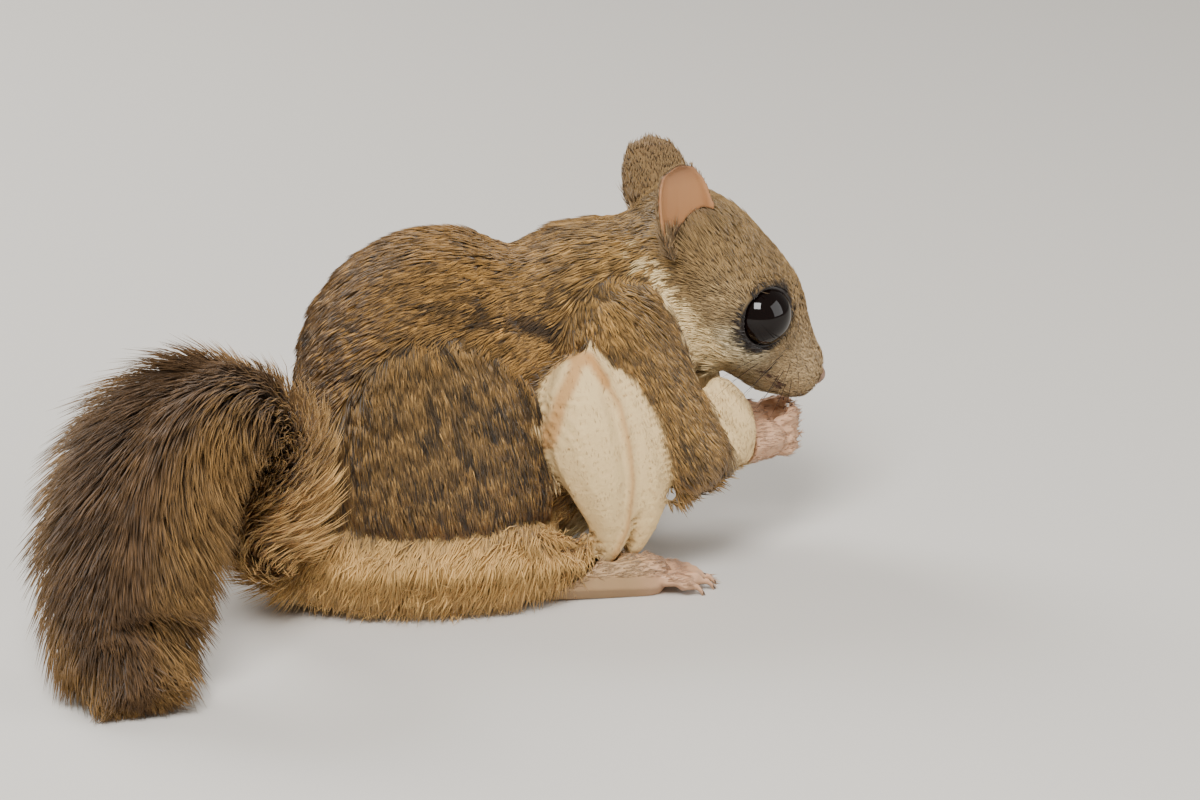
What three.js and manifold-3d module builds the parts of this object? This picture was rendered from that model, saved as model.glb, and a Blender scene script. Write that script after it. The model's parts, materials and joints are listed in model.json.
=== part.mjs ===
// A southern flying squirrel, life size, crouched on the floor with both hands at its mouth.
// Millimetres, +Z up. It faces +X and its right side is towards -Y. The flesh is modelled with its
// short coat, as smooth masses that are wrapped in one surface each and parted with thin cuts.
import * as THREE from "three";
import Module from "manifold-3d";

const wasm = await Module();
wasm.setup();

// Driving dimensions
const GAP = 0.3; // between parts that touch
const BACK = 64; // height of the hunched back
const HIP_HALF = 22.5; // half the width across the haunches
const HEAD_AT = [42, 0, 53.5]; // middle of the skull
const HEAD_PITCH = 46; // degrees that the nose points below level
const HEAD_ROLL = 5; // degrees that the right side of the head is raised
const MUZZLE_REACH = 30.5; // middle of the skull to the tip of the nose
const EYE_RADIUS = 5.6;
const EAR_HEIGHT = 16.5;
const FOOT_LENGTH = 33; // heel to the longest toe
const TAIL_HALF_WIDTH = 19.5; // core to the tips of the side locks
const TAIL_HALF_DEPTH = 8.5; // core to the tips of the top locks
const FLOOR = 0;

const rad = THREE.MathUtils.degToRad;
const point = (x, y, z) => new THREE.Vector3(x, y, z);
const pointOf = (list) => new THREE.Vector3(...list);
const mix = THREE.MathUtils.lerp;
const smooth = THREE.MathUtils.smoothstep;

// Fields: near enough the signed distance to a mass, negative inside it

function ellipsoid(at, radii, pitch = 0) {
  const centre = pointOf(at);
  const back = new THREE.Quaternion().setFromAxisAngle(point(0, 1, 0), -rad(pitch));
  const [rx, ry, rz] = radii;
  const q = point(0, 0, 0);
  return (p) => {
    q.copy(p).sub(centre).applyQuaternion(back);
    const near = Math.hypot(q.x / rx, q.y / ry, q.z / rz);
    const slope = Math.hypot(q.x / rx ** 2, q.y / ry ** 2, q.z / rz ** 2);
    return slope < 1e-6 ? -Math.min(rx, ry, rz) : (near * (near - 1)) / slope;
  };
}

// A tapering limb with round ends.
function limb(from, to, fromRadius, toRadius) {
  const a = pointOf(from);
  const along = pointOf(to).sub(a);
  const q = point(0, 0, 0);
  return (p) => {
    q.copy(p).sub(a);
    const t = THREE.MathUtils.clamp(q.dot(along) / along.lengthSq(), 0, 1);
    return q.addScaledVector(along, -t).length() - mix(fromRadius, toRadius, t);
  };
}

// The same mass on both sides: it is given on the right, where y is negative.
function paired(field) {
  const q = point(0, 0, 0);
  return (p) => field(q.set(p.x, -Math.abs(p.y), p.z));
}

// Masses that run into each other over a width.
function blend(width, ...fields) {
  return (p) =>
    fields.reduce((so_far, field) => {
      const d = field(p);
      const near = Math.max(width - Math.abs(so_far - d), 0) / width;
      return Math.min(so_far, d) - (near * near * width) / 4;
    }, 1e3);
}

const placed = (field, inverse) => {
  const q = point(0, 0, 0);
  return (p) => field(q.copy(p).applyMatrix4(inverse));
};

// Closed surfaces

// Rings of points, all with the same count, closed by a point at each end. The rings run
// anticlockwise about the way that they advance.
function closedRings(start, rings, end) {
  const sides = rings[0].length;
  const positions = [start, ...rings.flat(), end].flatMap((p) => [p.x, p.y, p.z]);
  const last = rings.length * sides + 1;
  const at = (i, j) => 1 + i * sides + (j % sides);
  const index = [];
  for (let j = 0; j < sides; j++) {
    index.push(0, at(0, j + 1), at(0, j));
    index.push(last, at(rings.length - 1, j), at(rings.length - 1, j + 1));
    for (let i = 0; i + 1 < rings.length; i++) {
      index.push(at(i, j), at(i, j + 1), at(i + 1, j + 1));
      index.push(at(i, j), at(i + 1, j + 1), at(i + 1, j));
    }
  }
  return solidOf(positions, index);
}

function solidOf(positions, index) {
  return new wasm.Manifold(
    new wasm.Mesh({
      numProp: 3,
      vertProperties: Float32Array.from(positions),
      triVerts: Uint32Array.from(index),
    }),
  );
}

// A three.js solid, such as a sphere or a box, as one closed body.
function solidFrom(geometry, matrix) {
  const g = geometry.clone();
  if (matrix) g.applyMatrix4(matrix);
  const place = g.getAttribute("position");
  const index = g.index ? Array.from(g.index.array) : [...Array(place.count).keys()];
  const known = new Map();
  const positions = [];
  const merged = index.map((i) => {
    const p = [place.getX(i), place.getY(i), place.getZ(i)];
    const key = p.map((v) => Math.round(v * 1e4)).join();
    if (!known.has(key)) {
      known.set(key, known.size);
      positions.push(...p);
    }
    return known.get(key);
  });
  const kept = [];
  for (let i = 0; i < merged.length; i += 3) {
    const [a, b, c] = merged.slice(i, i + 3);
    if (a !== b && b !== c && a !== c) kept.push(a, b, c);
  }
  return solidOf(positions, kept);
}

const STRIDE = 1.2; // first search along a ray
const HALVINGS = 12;

// How far a ray runs from inside a mass before it leaves it.
function reachOf(field, from, way, surface, most) {
  const p = point(0, 0, 0);
  const at = (r) => field(p.copy(from).addScaledVector(way, r)) - surface;
  let outer = STRIDE / 2;
  while (outer < most && at(outer) < 0) outer += STRIDE;
  let inner = Math.max(outer - STRIDE, 0.05);
  outer = Math.min(outer, most);
  for (let i = 0; i < HALVINGS; i++) {
    const middle = (inner + outer) / 2;
    if (at(middle) < 0) inner = middle;
    else outer = middle;
  }
  return (inner + outer) / 2;
}

// Wraps a mass in one surface. Rays leave an axis inside it: square to the axis along it, and
// fanned out to a pole at each end.
function wrap(field, axis, { rings, fan, sides, surface = 0, most = 60, up = point(0, 0, 1) }) {
  const rayAt = (i, j) => {
    const t = THREE.MathUtils.clamp((i - fan) / (rings - 2 * fan), 0, 1);
    const lean = i < fan ? (i / fan - 1) * 90 : i > rings - fan ? ((i - rings + fan) / fan) * 90 : 0;
    const from = axis.getPointAt(t);
    const ahead = axis.getTangentAt(t);
    const north = up.clone().addScaledVector(ahead, -up.dot(ahead)).normalize();
    const east = ahead.clone().cross(north);
    const angle = (2 * Math.PI * j) / sides;
    const way = north.multiplyScalar(Math.cos(angle)).addScaledVector(east, Math.sin(angle));
    way.multiplyScalar(Math.cos(rad(lean))).addScaledVector(ahead, Math.sin(rad(lean)));
    return from.addScaledVector(way, reachOf(field, from, way, surface, most));
  };
  const loops = [];
  for (let i = 1; i < rings; i++) loops.push(Array.from({ length: sides }, (_, j) => rayAt(i, j)));
  return closedRings(rayAt(0, 0), loops, rayAt(rings, 0));
}

const line = (from, to) => new THREE.LineCurve3(pointOf(from), pointOf(to));
const curve = (...points) => new THREE.CatmullRomCurve3(points.map(pointOf));

// A tube of oval section along a curve or a stretch of it, flat on both faces where depth is less
// than width. The half width, half depth and the way that its face looks are functions of the share
// of the curve's length.
function tube(path, { steps, sides, width, depth = width, face, from = 0, to = 1 }) {
  const loops = [];
  for (let i = 1; i < steps; i++) {
    const t = mix(from, to, i / steps);
    const at = path.getPointAt(t);
    const onward = path.getTangentAt(t);
    const looks = face(t);
    const north = looks.clone().addScaledVector(onward, -looks.dot(onward)).normalize();
    const east = onward.clone().cross(north);
    loops.push(
      Array.from({ length: sides }, (_, j) => {
        const angle = (2 * Math.PI * (j + 0.5)) / sides;
        return at
          .clone()
          .addScaledVector(north, depth(t) * Math.cos(angle))
          .addScaledVector(east, width(t) * Math.sin(angle));
      }),
    );
  }
  return closedRings(path.getPointAt(from), loops, path.getPointAt(to));
}

// Joins, cuts and thin parting

const join = (...solids) => solids.flat().reduce((a, b) => a.add(b));
const WORLD = 400; // a block larger than the animal

// All that lies ahead of a plane, as a block.
function ahead(at, normal, shift = 0) {
  const way = pointOf(normal).normalize();
  const turn = new THREE.Quaternion().setFromUnitVectors(point(1, 0, 0), way);
  const middle = pointOf(at).addScaledVector(way, shift + WORLD / 2);
  const matrix = new THREE.Matrix4().compose(middle, turn, point(1, 1, 1));
  return solidFrom(new THREE.BoxGeometry(WORLD, WORLD, WORLD), matrix);
}

const aboveFloor = ahead([0, 0, FLOOR], [0, 0, 1]);

// The largest closed body of a solid, standing on the floor.
function whole(solid) {
  const bodies = solid.intersect(aboveFloor).decompose();
  return bodies.reduce((a, b) => (a.volume() > b.volume() ? a : b));
}

const mirrored = (solid) => solid.mirror([0, 1, 0]);

// Head, in its own frame: x to the nose, y to the left, z to the crown

const headFrame = new THREE.Matrix4()
  .makeTranslation(...HEAD_AT)
  .multiply(new THREE.Matrix4().makeRotationY(rad(HEAD_PITCH)))
  .multiply(new THREE.Matrix4().makeRotationX(rad(-HEAD_ROLL)));
const MUZZLE_TIP_RADIUS = 4.8;
const muzzleEnd = MUZZLE_REACH - MUZZLE_TIP_RADIUS;
const headField = blend(
  4,
  ellipsoid([1, 0, -1.5], [16, 12.4, 11]),
  ellipsoid([10, 0, 0.4], [9, 8.6, 7.6]), // brow
  limb([14, 0, -1], [muzzleEnd, 0, -3.4], 7.2, MUZZLE_TIP_RADIUS),
  paired(ellipsoid([muzzleEnd - 1.5, -2.9, -5.6], [4.6, 3.4, 3.4])), // whisker pads
  paired(ellipsoid([10.5, -5.6, -7.2], [7.5, 5.6, 5.6])), // cheeks
  limb([8, 0, -9.5], [muzzleEnd - 4, 0, -8.8], 5.6, 3), // lower jaw
  paired(ellipsoid([-6, -8, 2.5], [5.5, 4.5, 5.5])), // roots of the ears
);

// Body masses

const hip = [-9, HIP_HALF - 10.5, 25];
const trunkField = blend(
  7,
  ellipsoid([-8, 0, BACK - 26], [24.5, 17, 25.5]), // back
  ellipsoid([-15, 0, 20], [20, 16.5, 20.5]), // rump
  ellipsoid([9, 0, 21], [20.5, 15, 18.5]), // belly
  ellipsoid([18, 0, 43], [15, 14.5, 17.5]), // shoulders
  limb([22, 0, 47], [36, 0, 52.5], 14.5, 11.5), // nape
  ellipsoid([27, 0, 33], [12, 11.5, 14]), // breast
  paired(ellipsoid([hip[0], -hip[1], hip[2]], [20.5, 10.5, 24.5])), // haunches
);
const fleshField = blend(6, trunkField, placed(headField, headFrame.clone().invert()));

const trunkAxis = curve([-14, 0, 27], [0, 0, 31], [17, 0, 38], [31, 0, 47]);
const trunkDetail = { rings: 27, fan: 7, sides: 24, most: 48 };
const trunk = wrap(fleshField, trunkAxis, trunkDetail);
const trunkSwollen = wrap(fleshField, trunkAxis, { ...trunkDetail, surface: GAP });

const headLocal = (a, c, b) => point(a, c, b).applyMatrix4(headFrame);
const headAxis = new THREE.LineCurve3(headLocal(1, 0, -2.5), headLocal(muzzleEnd - 3, 0, -4.6));
const headUp = headLocal(0, 0, 1).sub(headLocal(0, 0, 0));
const headDetail = { rings: 23, fan: 8, sides: 24, most: 30, up: headUp };
const headSkin = wrap(fleshField, headAxis, headDetail);
const headSwollen = wrap(fleshField, headAxis, { ...headDetail, surface: GAP });

// Planes that part the body along the spine
const NAPE_CUT = [[34.5, 0, 50], [0.949, 0, 0.316]];
const NECK_CUT = [[25, 0, 48], [0.91, 0, 0.42]];
const CHEST_CUT = [[8, 0, 35], [0.97, 0, 0.22]];
const RUMP_CUT = [[-15, 0, 35], [1, 0, 0.05]];

// Eyes, with their lids

const EYE_AT = [11, 7, -2.1];
const EYE_LOOK = [0.24, 0.95, 0.16];
const LID_SPREAD = 72; // degrees from the way that the eye looks to its lids
const LID_RADIUS = 0.7;

// The parts of one side are given on the right, and side is 1 there and -1 on the left.
const eyeAt = (side) => headLocal(EYE_AT[0], -side * EYE_AT[1], EYE_AT[2]);
const eyeLook = (side) =>
  headLocal(EYE_LOOK[0], -side * EYE_LOOK[1], EYE_LOOK[2]).sub(headLocal(0, 0, 0)).normalize();

function ball(at, radius, across = 16) {
  return solidFrom(
    new THREE.SphereGeometry(radius, across, across / 2),
    new THREE.Matrix4().makeTranslation(at.x, at.y, at.z),
  );
}

function lids(side) {
  const ring = new THREE.TorusGeometry(EYE_RADIUS * Math.sin(rad(LID_SPREAD)), LID_RADIUS, 5, 16);
  const look = eyeLook(side);
  const turn = new THREE.Quaternion().setFromUnitVectors(point(0, 0, 1), look);
  const at = eyeAt(side).addScaledVector(look, EYE_RADIUS * Math.cos(rad(LID_SPREAD)));
  return solidFrom(ring, new THREE.Matrix4().compose(at, turn, point(1, 1, 1)));
}

// Nose, nostrils and mouth

const NOSE_AT = [MUZZLE_REACH - 1, 0, -2.4];
const nosePad = solidFrom(
  new THREE.SphereGeometry(1, 10, 6),
  headFrame
    .clone()
    .multiply(new THREE.Matrix4().makeTranslation(...NOSE_AT))
    .multiply(new THREE.Matrix4().makeScale(1.7, 2.1, 1.5)),
);
const nostril = (side) =>
  tube(
    new THREE.CatmullRomCurve3([
      headLocal(NOSE_AT[0] + 2.4, -side * 0.9, NOSE_AT[2] - 0.5),
      headLocal(NOSE_AT[0] + 0.9, -side * 1.2, NOSE_AT[2] - 0.2),
      headLocal(NOSE_AT[0] + 0.1, -side * 2.3, NOSE_AT[2] + 0.3),
    ]),
    { steps: 5, sides: 6, width: () => 0.45, face: () => headUp },
  );
const MOUTH_DROP = -8.2;
const mouthPath = new THREE.CatmullRomCurve3(
  [
    [19, 6.2, MOUTH_DROP - 0.6],
    [24, 5.2, MOUTH_DROP],
    [muzzleEnd + 3, 0, MOUTH_DROP + 0.9],
    [24, -5.2, MOUTH_DROP],
    [19, -6.2, MOUTH_DROP - 0.6],
  ].map(([a, c, b]) => headLocal(a, c, b)),
);
const mouthLine = tube(mouthPath, { steps: 16, sides: 4, width: () => 0.5, face: () => headUp });

const headBlock = join(headSkin, lids(1), lids(-1), nosePad)
  .subtract(join(mouthLine, nostril(1), nostril(-1)))
  .subtract(join(ball(eyeAt(1), EYE_RADIUS + GAP), ball(eyeAt(-1), EYE_RADIUS + GAP)));

// Ears: a thin cup that is crescent shaped in section

const EAR_ROOT = [-7.8, 8.6, -2.2];
const EAR_THICK = 0.9;
const EAR_HALF_WIDTH = 6.2;
const EAR_SET_BACK = 2.4; // that the right ear is held further back than the left
const EAR_CUP = 4.2; // depth of the cup
const EAR_WRAP = 100; // degrees that each edge is wrapped forwards from the back of the cup
const earWay = point(-0.05, 0.16, 0.98).normalize(); // root to tip on the left, as it stands
const earOpen = point(0.42, 0.9, 0.05); // the way that the cup opens on the left

function ear(side) {
  const flip = point(1, -side, 1);
  const up = earWay.clone().multiply(flip);
  const open = earOpen.clone().multiply(flip);
  open.addScaledVector(up, -open.dot(up)).normalize();
  const across = up.clone().cross(open);
  const root = headLocal(EAR_ROOT[0], -side * EAR_ROOT[1], EAR_ROOT[2]);
  if (side === 1) root.x -= EAR_SET_BACK;
  const steps = 9;
  const half = 6;
  const ringAt = (u, shrink) => {
    const outline = u < 0.4 ? mix(0.62, 1, Math.sin((u / 0.4) * (Math.PI / 2))) : Math.sqrt(1 - ((u - 0.4) / 0.6) ** 2.4);
    const middle = root.clone().addScaledVector(up, u * EAR_HEIGHT).addScaledVector(open, -u * 1.2);
    const place = (angle, thick) => {
      const w = Math.max(EAR_HALF_WIDTH * outline * shrink - thick, 0.05);
      const d = Math.max(EAR_CUP * mix(1, 0.35, u) * mix(outline, 1, 0.3) * shrink - thick, 0.05);
      return middle
        .clone()
        .addScaledVector(across, w * Math.sin(angle))
        .addScaledVector(open, d * (1 - Math.cos(angle)) + thick * 1.0);
    };
    const wrapAt = (j) => rad(mix(-EAR_WRAP, EAR_WRAP, j / half));
    const outer = Array.from({ length: half + 1 }, (_, j) => place(wrapAt(j), 0));
    const inner = Array.from({ length: half + 1 }, (_, j) => place(wrapAt(half - j) * 0.97, EAR_THICK));
    return [...outer, ...inner].reverse();
  };
  const loops = [];
  for (let i = 0; i < steps; i++) loops.push(ringAt(i / steps, 1));
  const start = root.clone().addScaledVector(open, EAR_THICK / 2);
  const end = root.clone().addScaledVector(up, EAR_HEIGHT * 0.995).addScaledVector(open, 0.6);
  return closedRings(start, loops, end);
}

// Forelegs and hands

const SHOULDER = [22, -10.5, 45];
const ELBOW = [33, -14.5, 23.5];
const WRIST = [46, -8, 20.6];
const ELBOW_RADIUS = 7.4;
const WRIST_RADIUS = 3.3;
const upperArm = limb(SHOULDER, ELBOW, 9.6, ELBOW_RADIUS);
const lowerArm = limb(ELBOW, WRIST, ELBOW_RADIUS - 1.4, WRIST_RADIUS);
const wristRoll = ellipsoid([42.4, -10.5, 27.5], [4.4, 4.2, 8.4], -22); // slack membrane at the wrist
const armDetail = { rings: 11, fan: 4, sides: 12, most: 30 };
const armSkin = (surface) =>
  join(
    wrap(upperArm, line(SHOULDER, ELBOW), { ...armDetail, surface }),
    wrap(lowerArm, line(ELBOW, WRIST), { ...armDetail, surface, up: point(0, 1, 0) }),
    wrap(wristRoll, line([41.2, -10.5, 30.5], [43.6, -10.5, 24.5]), { ...armDetail, sides: 10, surface, up: point(0, 1, 0) }),
  );
const armBlock = armSkin(0);
const armSwollen = armSkin(GAP);
const wristWay = pointOf(WRIST).sub(pointOf(ELBOW)).normalize();

const PALM = [50, -5.4, 20.8];
const FINGERS = 4;

// A finger or toe: knuckle, bend and pad, with a small hooked claw at its end.
function digit(from, bend, tip, radius, clawLength) {
  const path = curve(from, bend, tip);
  const onward = path.getTangentAt(1);
  const flesh = tube(path, {
    steps: 4,
    sides: 5,
    width: (t) => radius * (0.86 + 0.3 * smooth(t, 0.55, 0.8)) * Math.sqrt(1 - Math.max(0, t - 0.8) ** 2 * 14),
    face: () => point(0, 0, 1),
  });
  const end = pointOf(tip).addScaledVector(onward, -radius * 0.9).add(point(0, 0, radius * 0.25));
  const hook = end.clone().addScaledVector(onward, clawLength * 0.8).add(point(0, 0, radius * 0.15));
  const claw = tube(
    new THREE.CatmullRomCurve3([
      end,
      hook,
      end.clone().addScaledVector(onward, clawLength * 1.35).add(point(0, 0, -clawLength * 0.55)),
    ]),
    { steps: 3, sides: 4, width: (t) => 0.62 * (1 - t * 0.75), face: () => point(0, 0, 1) },
  );
  return join(flesh, claw);
}

const palm = wrap(
  blend(1.5, limb(WRIST, PALM, WRIST_RADIUS - 0.5, 2.9), ellipsoid(PALM, [3.8, 3.3, 3.1])),
  line(WRIST, PALM),
  { rings: 9, fan: 4, sides: 10, most: 8, up: point(0, 1, 0) },
);
const fingers = Array.from({ length: FINGERS }, (_, i) => {
  const across = mix(-1, 1, i / (FINGERS - 1));
  const from = [PALM[0] + 1.6 - 0.5 * Math.abs(across), PALM[1] + 0.2, PALM[2] + across * 2.3];
  const bend = [PALM[0] + 5.6, PALM[1] + 1.2, PALM[2] + across * 3.2 + 0.4];
  const tip = [PALM[0] + 6.4, PALM[1] + 4, PALM[2] + across * 2.8 + 1.4];
  return digit(from, bend, tip, 1, 1.5);
});
const handBlock = join(palm, fingers);

// Hind feet

const HEEL = [4.5, -17.5, 4.1];
const BALL = [HEEL[0] + FOOT_LENGTH * 0.62, -19.5, 3];
const footSole = wrap(limb(HEEL, BALL, 4.3, 3.7), line(HEEL, BALL), { rings: 9, fan: 3, sides: 10, most: 9 });
const TOES = 5;
const toes = Array.from({ length: TOES }, (_, i) => {
  const across = mix(-1, 1, i / (TOES - 1));
  const long = FOOT_LENGTH * 0.33 * (1 - 0.3 * across ** 2);
  const from = [BALL[0] + 0.5, BALL[1] - across * 2.5, 2.6];
  const bend = [BALL[0] + long * 0.62, BALL[1] - across * 3.6, 2.9];
  const tip = [BALL[0] + long, BALL[1] - across * 4.4, 1.25];
  return digit(from, bend, tip, 1.3, 2);
});
const footBlock = join(footSole, toes);

// Gliding membrane, slack: two folds of its pale underside between elbow and knee, a roll along the
// floor from the ankle to the root of the tail, and a thin edge below the forearm to the wrist

const leaf = (stations, wide, deep, fullest) => (grow) =>
  tube(curve(...stations), {
    steps: 9,
    sides: 8,
    width: (t) => wide * Math.sin(Math.PI * t ** fullest) ** 0.85 + grow,
    depth: (t) => deep * Math.sin(Math.PI * t ** fullest) ** 0.6 + grow,
    face: () => point(0, -1, 0),
  });
const foldRear = leaf([[15, -17.5, 46], [13.2, -20, 35], [16, -20.5, 24], [18.6, -19.5, 13], [17.5, -18.5, 3]], 8, 6, 0.72);
const foldFront = leaf([[17.5, -15.5, 45], [20.5, -17, 33], [23.5, -17.5, 21], [24.3, -17, 12], [21.5, -16.5, 3]], 6.4, 5.6, 0.85);
const roll = (grow) => tube(curve([-41, -5, 6.5], [-31, -13, 8.5], [-10, -17.5, 8.5], [19.5, -18, 7]), {
  steps: 10,
  sides: 8,
  width: (t) => 8.6 * Math.sqrt(Math.sin(Math.PI * mix(0.12, 0.9, t))) * Math.min(1, t * 5, (1 - t) * 5) ** 0.35 + grow,
  face: () => point(0, 0, 1),
});
const edge = (grow) => tube(curve([22, -16, 12], [31, -17, 15.2], [39, -13, 17.4], [46, -8.6, 20]), {
  steps: 12,
  sides: 6,
  width: (t) => 1.6 * Math.sin(Math.PI * mix(0.2, 0.95, t)) ** 0.5 + grow,
  depth: (t) => 0.9 * Math.sin(Math.PI * mix(0.2, 0.95, t)) ** 0.5 + grow,
  face: () => point(0, 0.4, 1),
});
const membraneParts = (grow) => [foldRear(grow), foldFront(grow), roll(grow), edge(grow)];
const membraneBlock = join(membraneParts(0));
const membraneSwollen = join(membraneParts(GAP));

// Tail

const tailPath = curve(
  [-27, 1, 14],
  [-37, -5, 11],
  [-42.5, -11, 15],
  [-40.5, -15.5, 27],
  [-42.5, -18.5, 36.5],
  [-50, -22.5, 42],
  [-58.5, -28, 40.5],
  [-65.5, -34, 33],
  [-69, -38.5, 22],
  [-70, -43, 10],
  [-69.5, -50, 4.5],
);
const TAIL_LENGTHS = 5;
const CORE_SHARE = 0.5; // of the way to the tips
const tailFade = (t) => 0.72 + 0.28 * smooth(t, 0, 0.3) - 0.24 * smooth(t, 0.8, 1);
const tailAcross = (t) => {
  const turn = rad(mix(0, 40, smooth(t, 0.1, 0.45)) + mix(0, 12, smooth(t, 0.5, 0.8)));
  return point(Math.sin(turn), -Math.cos(turn), 0);
};

function tailFrame(t) {
  const at = tailPath.getPointAt(t);
  const onward = tailPath.getTangentAt(t);
  const across = tailAcross(t);
  across.addScaledVector(onward, -across.dot(onward)).normalize();
  const top = onward.clone().cross(across).normalize();
  return { at, onward, across, top };
}

const coreTaper = (t) => Math.min(1, (1 - t) * 9) ** 0.5;
const coreWidth = (t) => TAIL_HALF_WIDTH * CORE_SHARE * tailFade(t) * coreTaper(t);
const coreDepth = (t) => TAIL_HALF_DEPTH * CORE_SHARE * tailFade(t) * coreTaper(t);

// A lock of the tail's coat: flat and tapered. It bends with the tail as it runs back along it, and
// its tip stands out from the core.
function lock(t, angle, long, wide) {
  const sideways = Math.abs(Math.cos(angle));
  const outAt = ({ across, top }) =>
    across.clone().multiplyScalar(Math.cos(angle)).addScaledVector(top, Math.sin(angle));
  const station = (s) => {
    const run = t + (s * long * 0.86) / tailPath.getLength();
    const frame = tailFrame(Math.min(run, 1));
    const past = Math.max(run - 1, 0) * tailPath.getLength();
    const stand = mix(mix(1.2, 6, sideways), mix(7.4, TAIL_HALF_WIDTH, sideways) * tailFade(Math.min(run, 1)), s ** 0.8);
    return frame.at.addScaledVector(frame.onward, past).addScaledVector(outAt(frame), stand * (1 - past / 30));
  };
  const { across, top } = tailFrame(t);
  const flat = top.clone().multiplyScalar(Math.cos(angle)).addScaledVector(across, -Math.sin(angle));
  const face = flat.multiplyScalar(sideways).addScaledVector(outAt({ across, top }), 1 - sideways);
  return tube(new THREE.CatmullRomCurve3([0, 0.35, 0.7, 1].map(station)), {
    steps: 4,
    sides: 4,
    width: (s) => wide * Math.sin(Math.PI * mix(0.22, 1, s)) ** 0.8 + 0.15,
    depth: (s) => wide * 0.4 * Math.sin(Math.PI * mix(0.25, 1, s)) + 0.12,
    face: () => face,
  });
}

let seed = 7;
const draw = () => {
  seed = (seed * 16807) % 2147483647;
  return seed / 2147483647;
};
const LOCK_ROWS = 8;
const LOCKS_ROUND = 6;
const LOCK_LENGTH = 19;
const locks = [];
for (let row = 0; row < LOCK_ROWS; row++) {
  for (let j = 0; j < LOCKS_ROUND; j++) {
    const t = mix(0.13, 0.93, (row + 0.5 * (j % 2) + 0.25 * draw()) / LOCK_ROWS);
    const angle = 2 * Math.PI * ((j + 0.25 * (draw() - 0.5)) / LOCKS_ROUND);
    const long = LOCK_LENGTH * tailFade(t) * mix(0.85, 1.1, draw()) * mix(0.78, 1, Math.abs(Math.cos(angle)));
    locks.push({ t, solid: lock(t, angle, long, mix(4.9, 5.8, draw())) });
  }
}

const lockShare = LOCK_LENGTH / tailPath.getLength();
const OVERRUN = 0.04; // share of the tail that a stretch of core runs past its cuts

// One length of the tail: its stretch of the core with all the locks that lie there, cut square to
// the tail at both ends.
function tailLength(i) {
  const start = i / TAIL_LENGTHS;
  const end = (i + 1) / TAIL_LENGTHS;
  const from = Math.max(start - OVERRUN, 0);
  const to = Math.min(end + OVERRUN, 1);
  const stretch = tube(tailPath, {
    steps: 10, sides: 8, width: coreWidth, depth: coreDepth, face: (t) => tailFrame(t).top, from, to,
  });
  const near = locks.filter(({ t }) => t > start - lockShare * 1.1 && t < end).map(({ solid }) => solid);
  let made = join(stretch, near);
  const cutAt = (t, sign) =>
    ahead(tailPath.getPointAt(t).toArray(), tailPath.getTangentAt(t).multiplyScalar(sign).toArray(), GAP / 2);
  if (i > 0) made = made.intersect(cutAt(start, 1));
  if (i + 1 < TAIL_LENGTHS) made = made.intersect(cutAt(end, -1));
  return made.subtract(join(trunkSwollen, membraneSwollen));
}

// Parting: each part is cut clear of those before it

const hipCutter = (grow) => wrap(ellipsoid([hip[0] - 2, -hip[1] - 8, hip[2] - 0.5], [21, 16, 25]),
  line([hip[0] - 8, -hip[1] - 6, hip[2]], [hip[0] + 4, -hip[1] - 6, hip[2]]),
  { rings: 14, fan: 5, sides: 18, most: 40, surface: grow, up: point(0, 1, 0) });
const bothSides = (solid) => join(solid, mirrored(solid));
const thigh = trunk.intersect(hipCutter(0));
const trunkCore = trunk.subtract(bothSides(join(armSwollen, hipCutter(GAP))));
const behind = (plane, shift = 0) => ahead(plane[0], plane[1].map((v) => -v), shift);
const between = (solid, rear, front) =>
  solid.intersect(ahead(...rear, GAP / 2)).intersect(behind(front, GAP / 2));

const head = headBlock.intersect(ahead(...NAPE_CUT, GAP / 2)).subtract(bothSides(armSwollen));
const neck = between(trunkCore, NECK_CUT, NAPE_CUT);
const chest = between(trunkCore, CHEST_CUT, NECK_CUT);
const belly = between(trunkCore, RUMP_CUT, CHEST_CUT);
const rump = trunkCore.intersect(behind(RUMP_CUT, GAP / 2));
const WRIST_CUT = [WRIST, wristWay.toArray()];
const arm = armBlock.intersect(behind(WRIST_CUT, GAP / 2)).subtract(headSwollen);
const rightOfMiddle = ahead([0, 0, 0], [0, -1, 0], GAP / 2);
const hand = handBlock.intersect(ahead(...WRIST_CUT, GAP / 2)).intersect(rightOfMiddle).subtract(headSwollen);
const swollenBody = join(trunkSwollen, armSwollen, headSwollen);
const membrane = membraneBlock.subtract(swollenBody);
const foot = footBlock.subtract(join(trunkSwollen, membraneSwollen));

// Colours

const COAT = { brown: 0x8a6a45, flank: 0x6f5840, cream: 0xe9cf9d, tail: 0x5e4730, skin: 0xc79a80, eye: 0x140b0a };
const finish = (colour, roughness) => new THREE.MeshStandardMaterial({ color: colour, roughness, metalness: 0 });
const fur = (colour) => finish(colour, 0.9);

const squirrel = new THREE.Group();
squirrel.name = "squirrel";

function add(name, solid, material) {
  const { vertProperties, triVerts, numProp } = whole(solid).getMesh();
  if (numProp !== 3) throw new Error(name + " has more than places at its corners");
  const geometry = new THREE.BufferGeometry()
    .setAttribute("position", new THREE.BufferAttribute(vertProperties, 3))
    .setIndex(new THREE.BufferAttribute(triVerts, 1));
  const mesh = new THREE.Mesh(geometry, material);
  mesh.name = name;
  squirrel.add(mesh);
}

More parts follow.
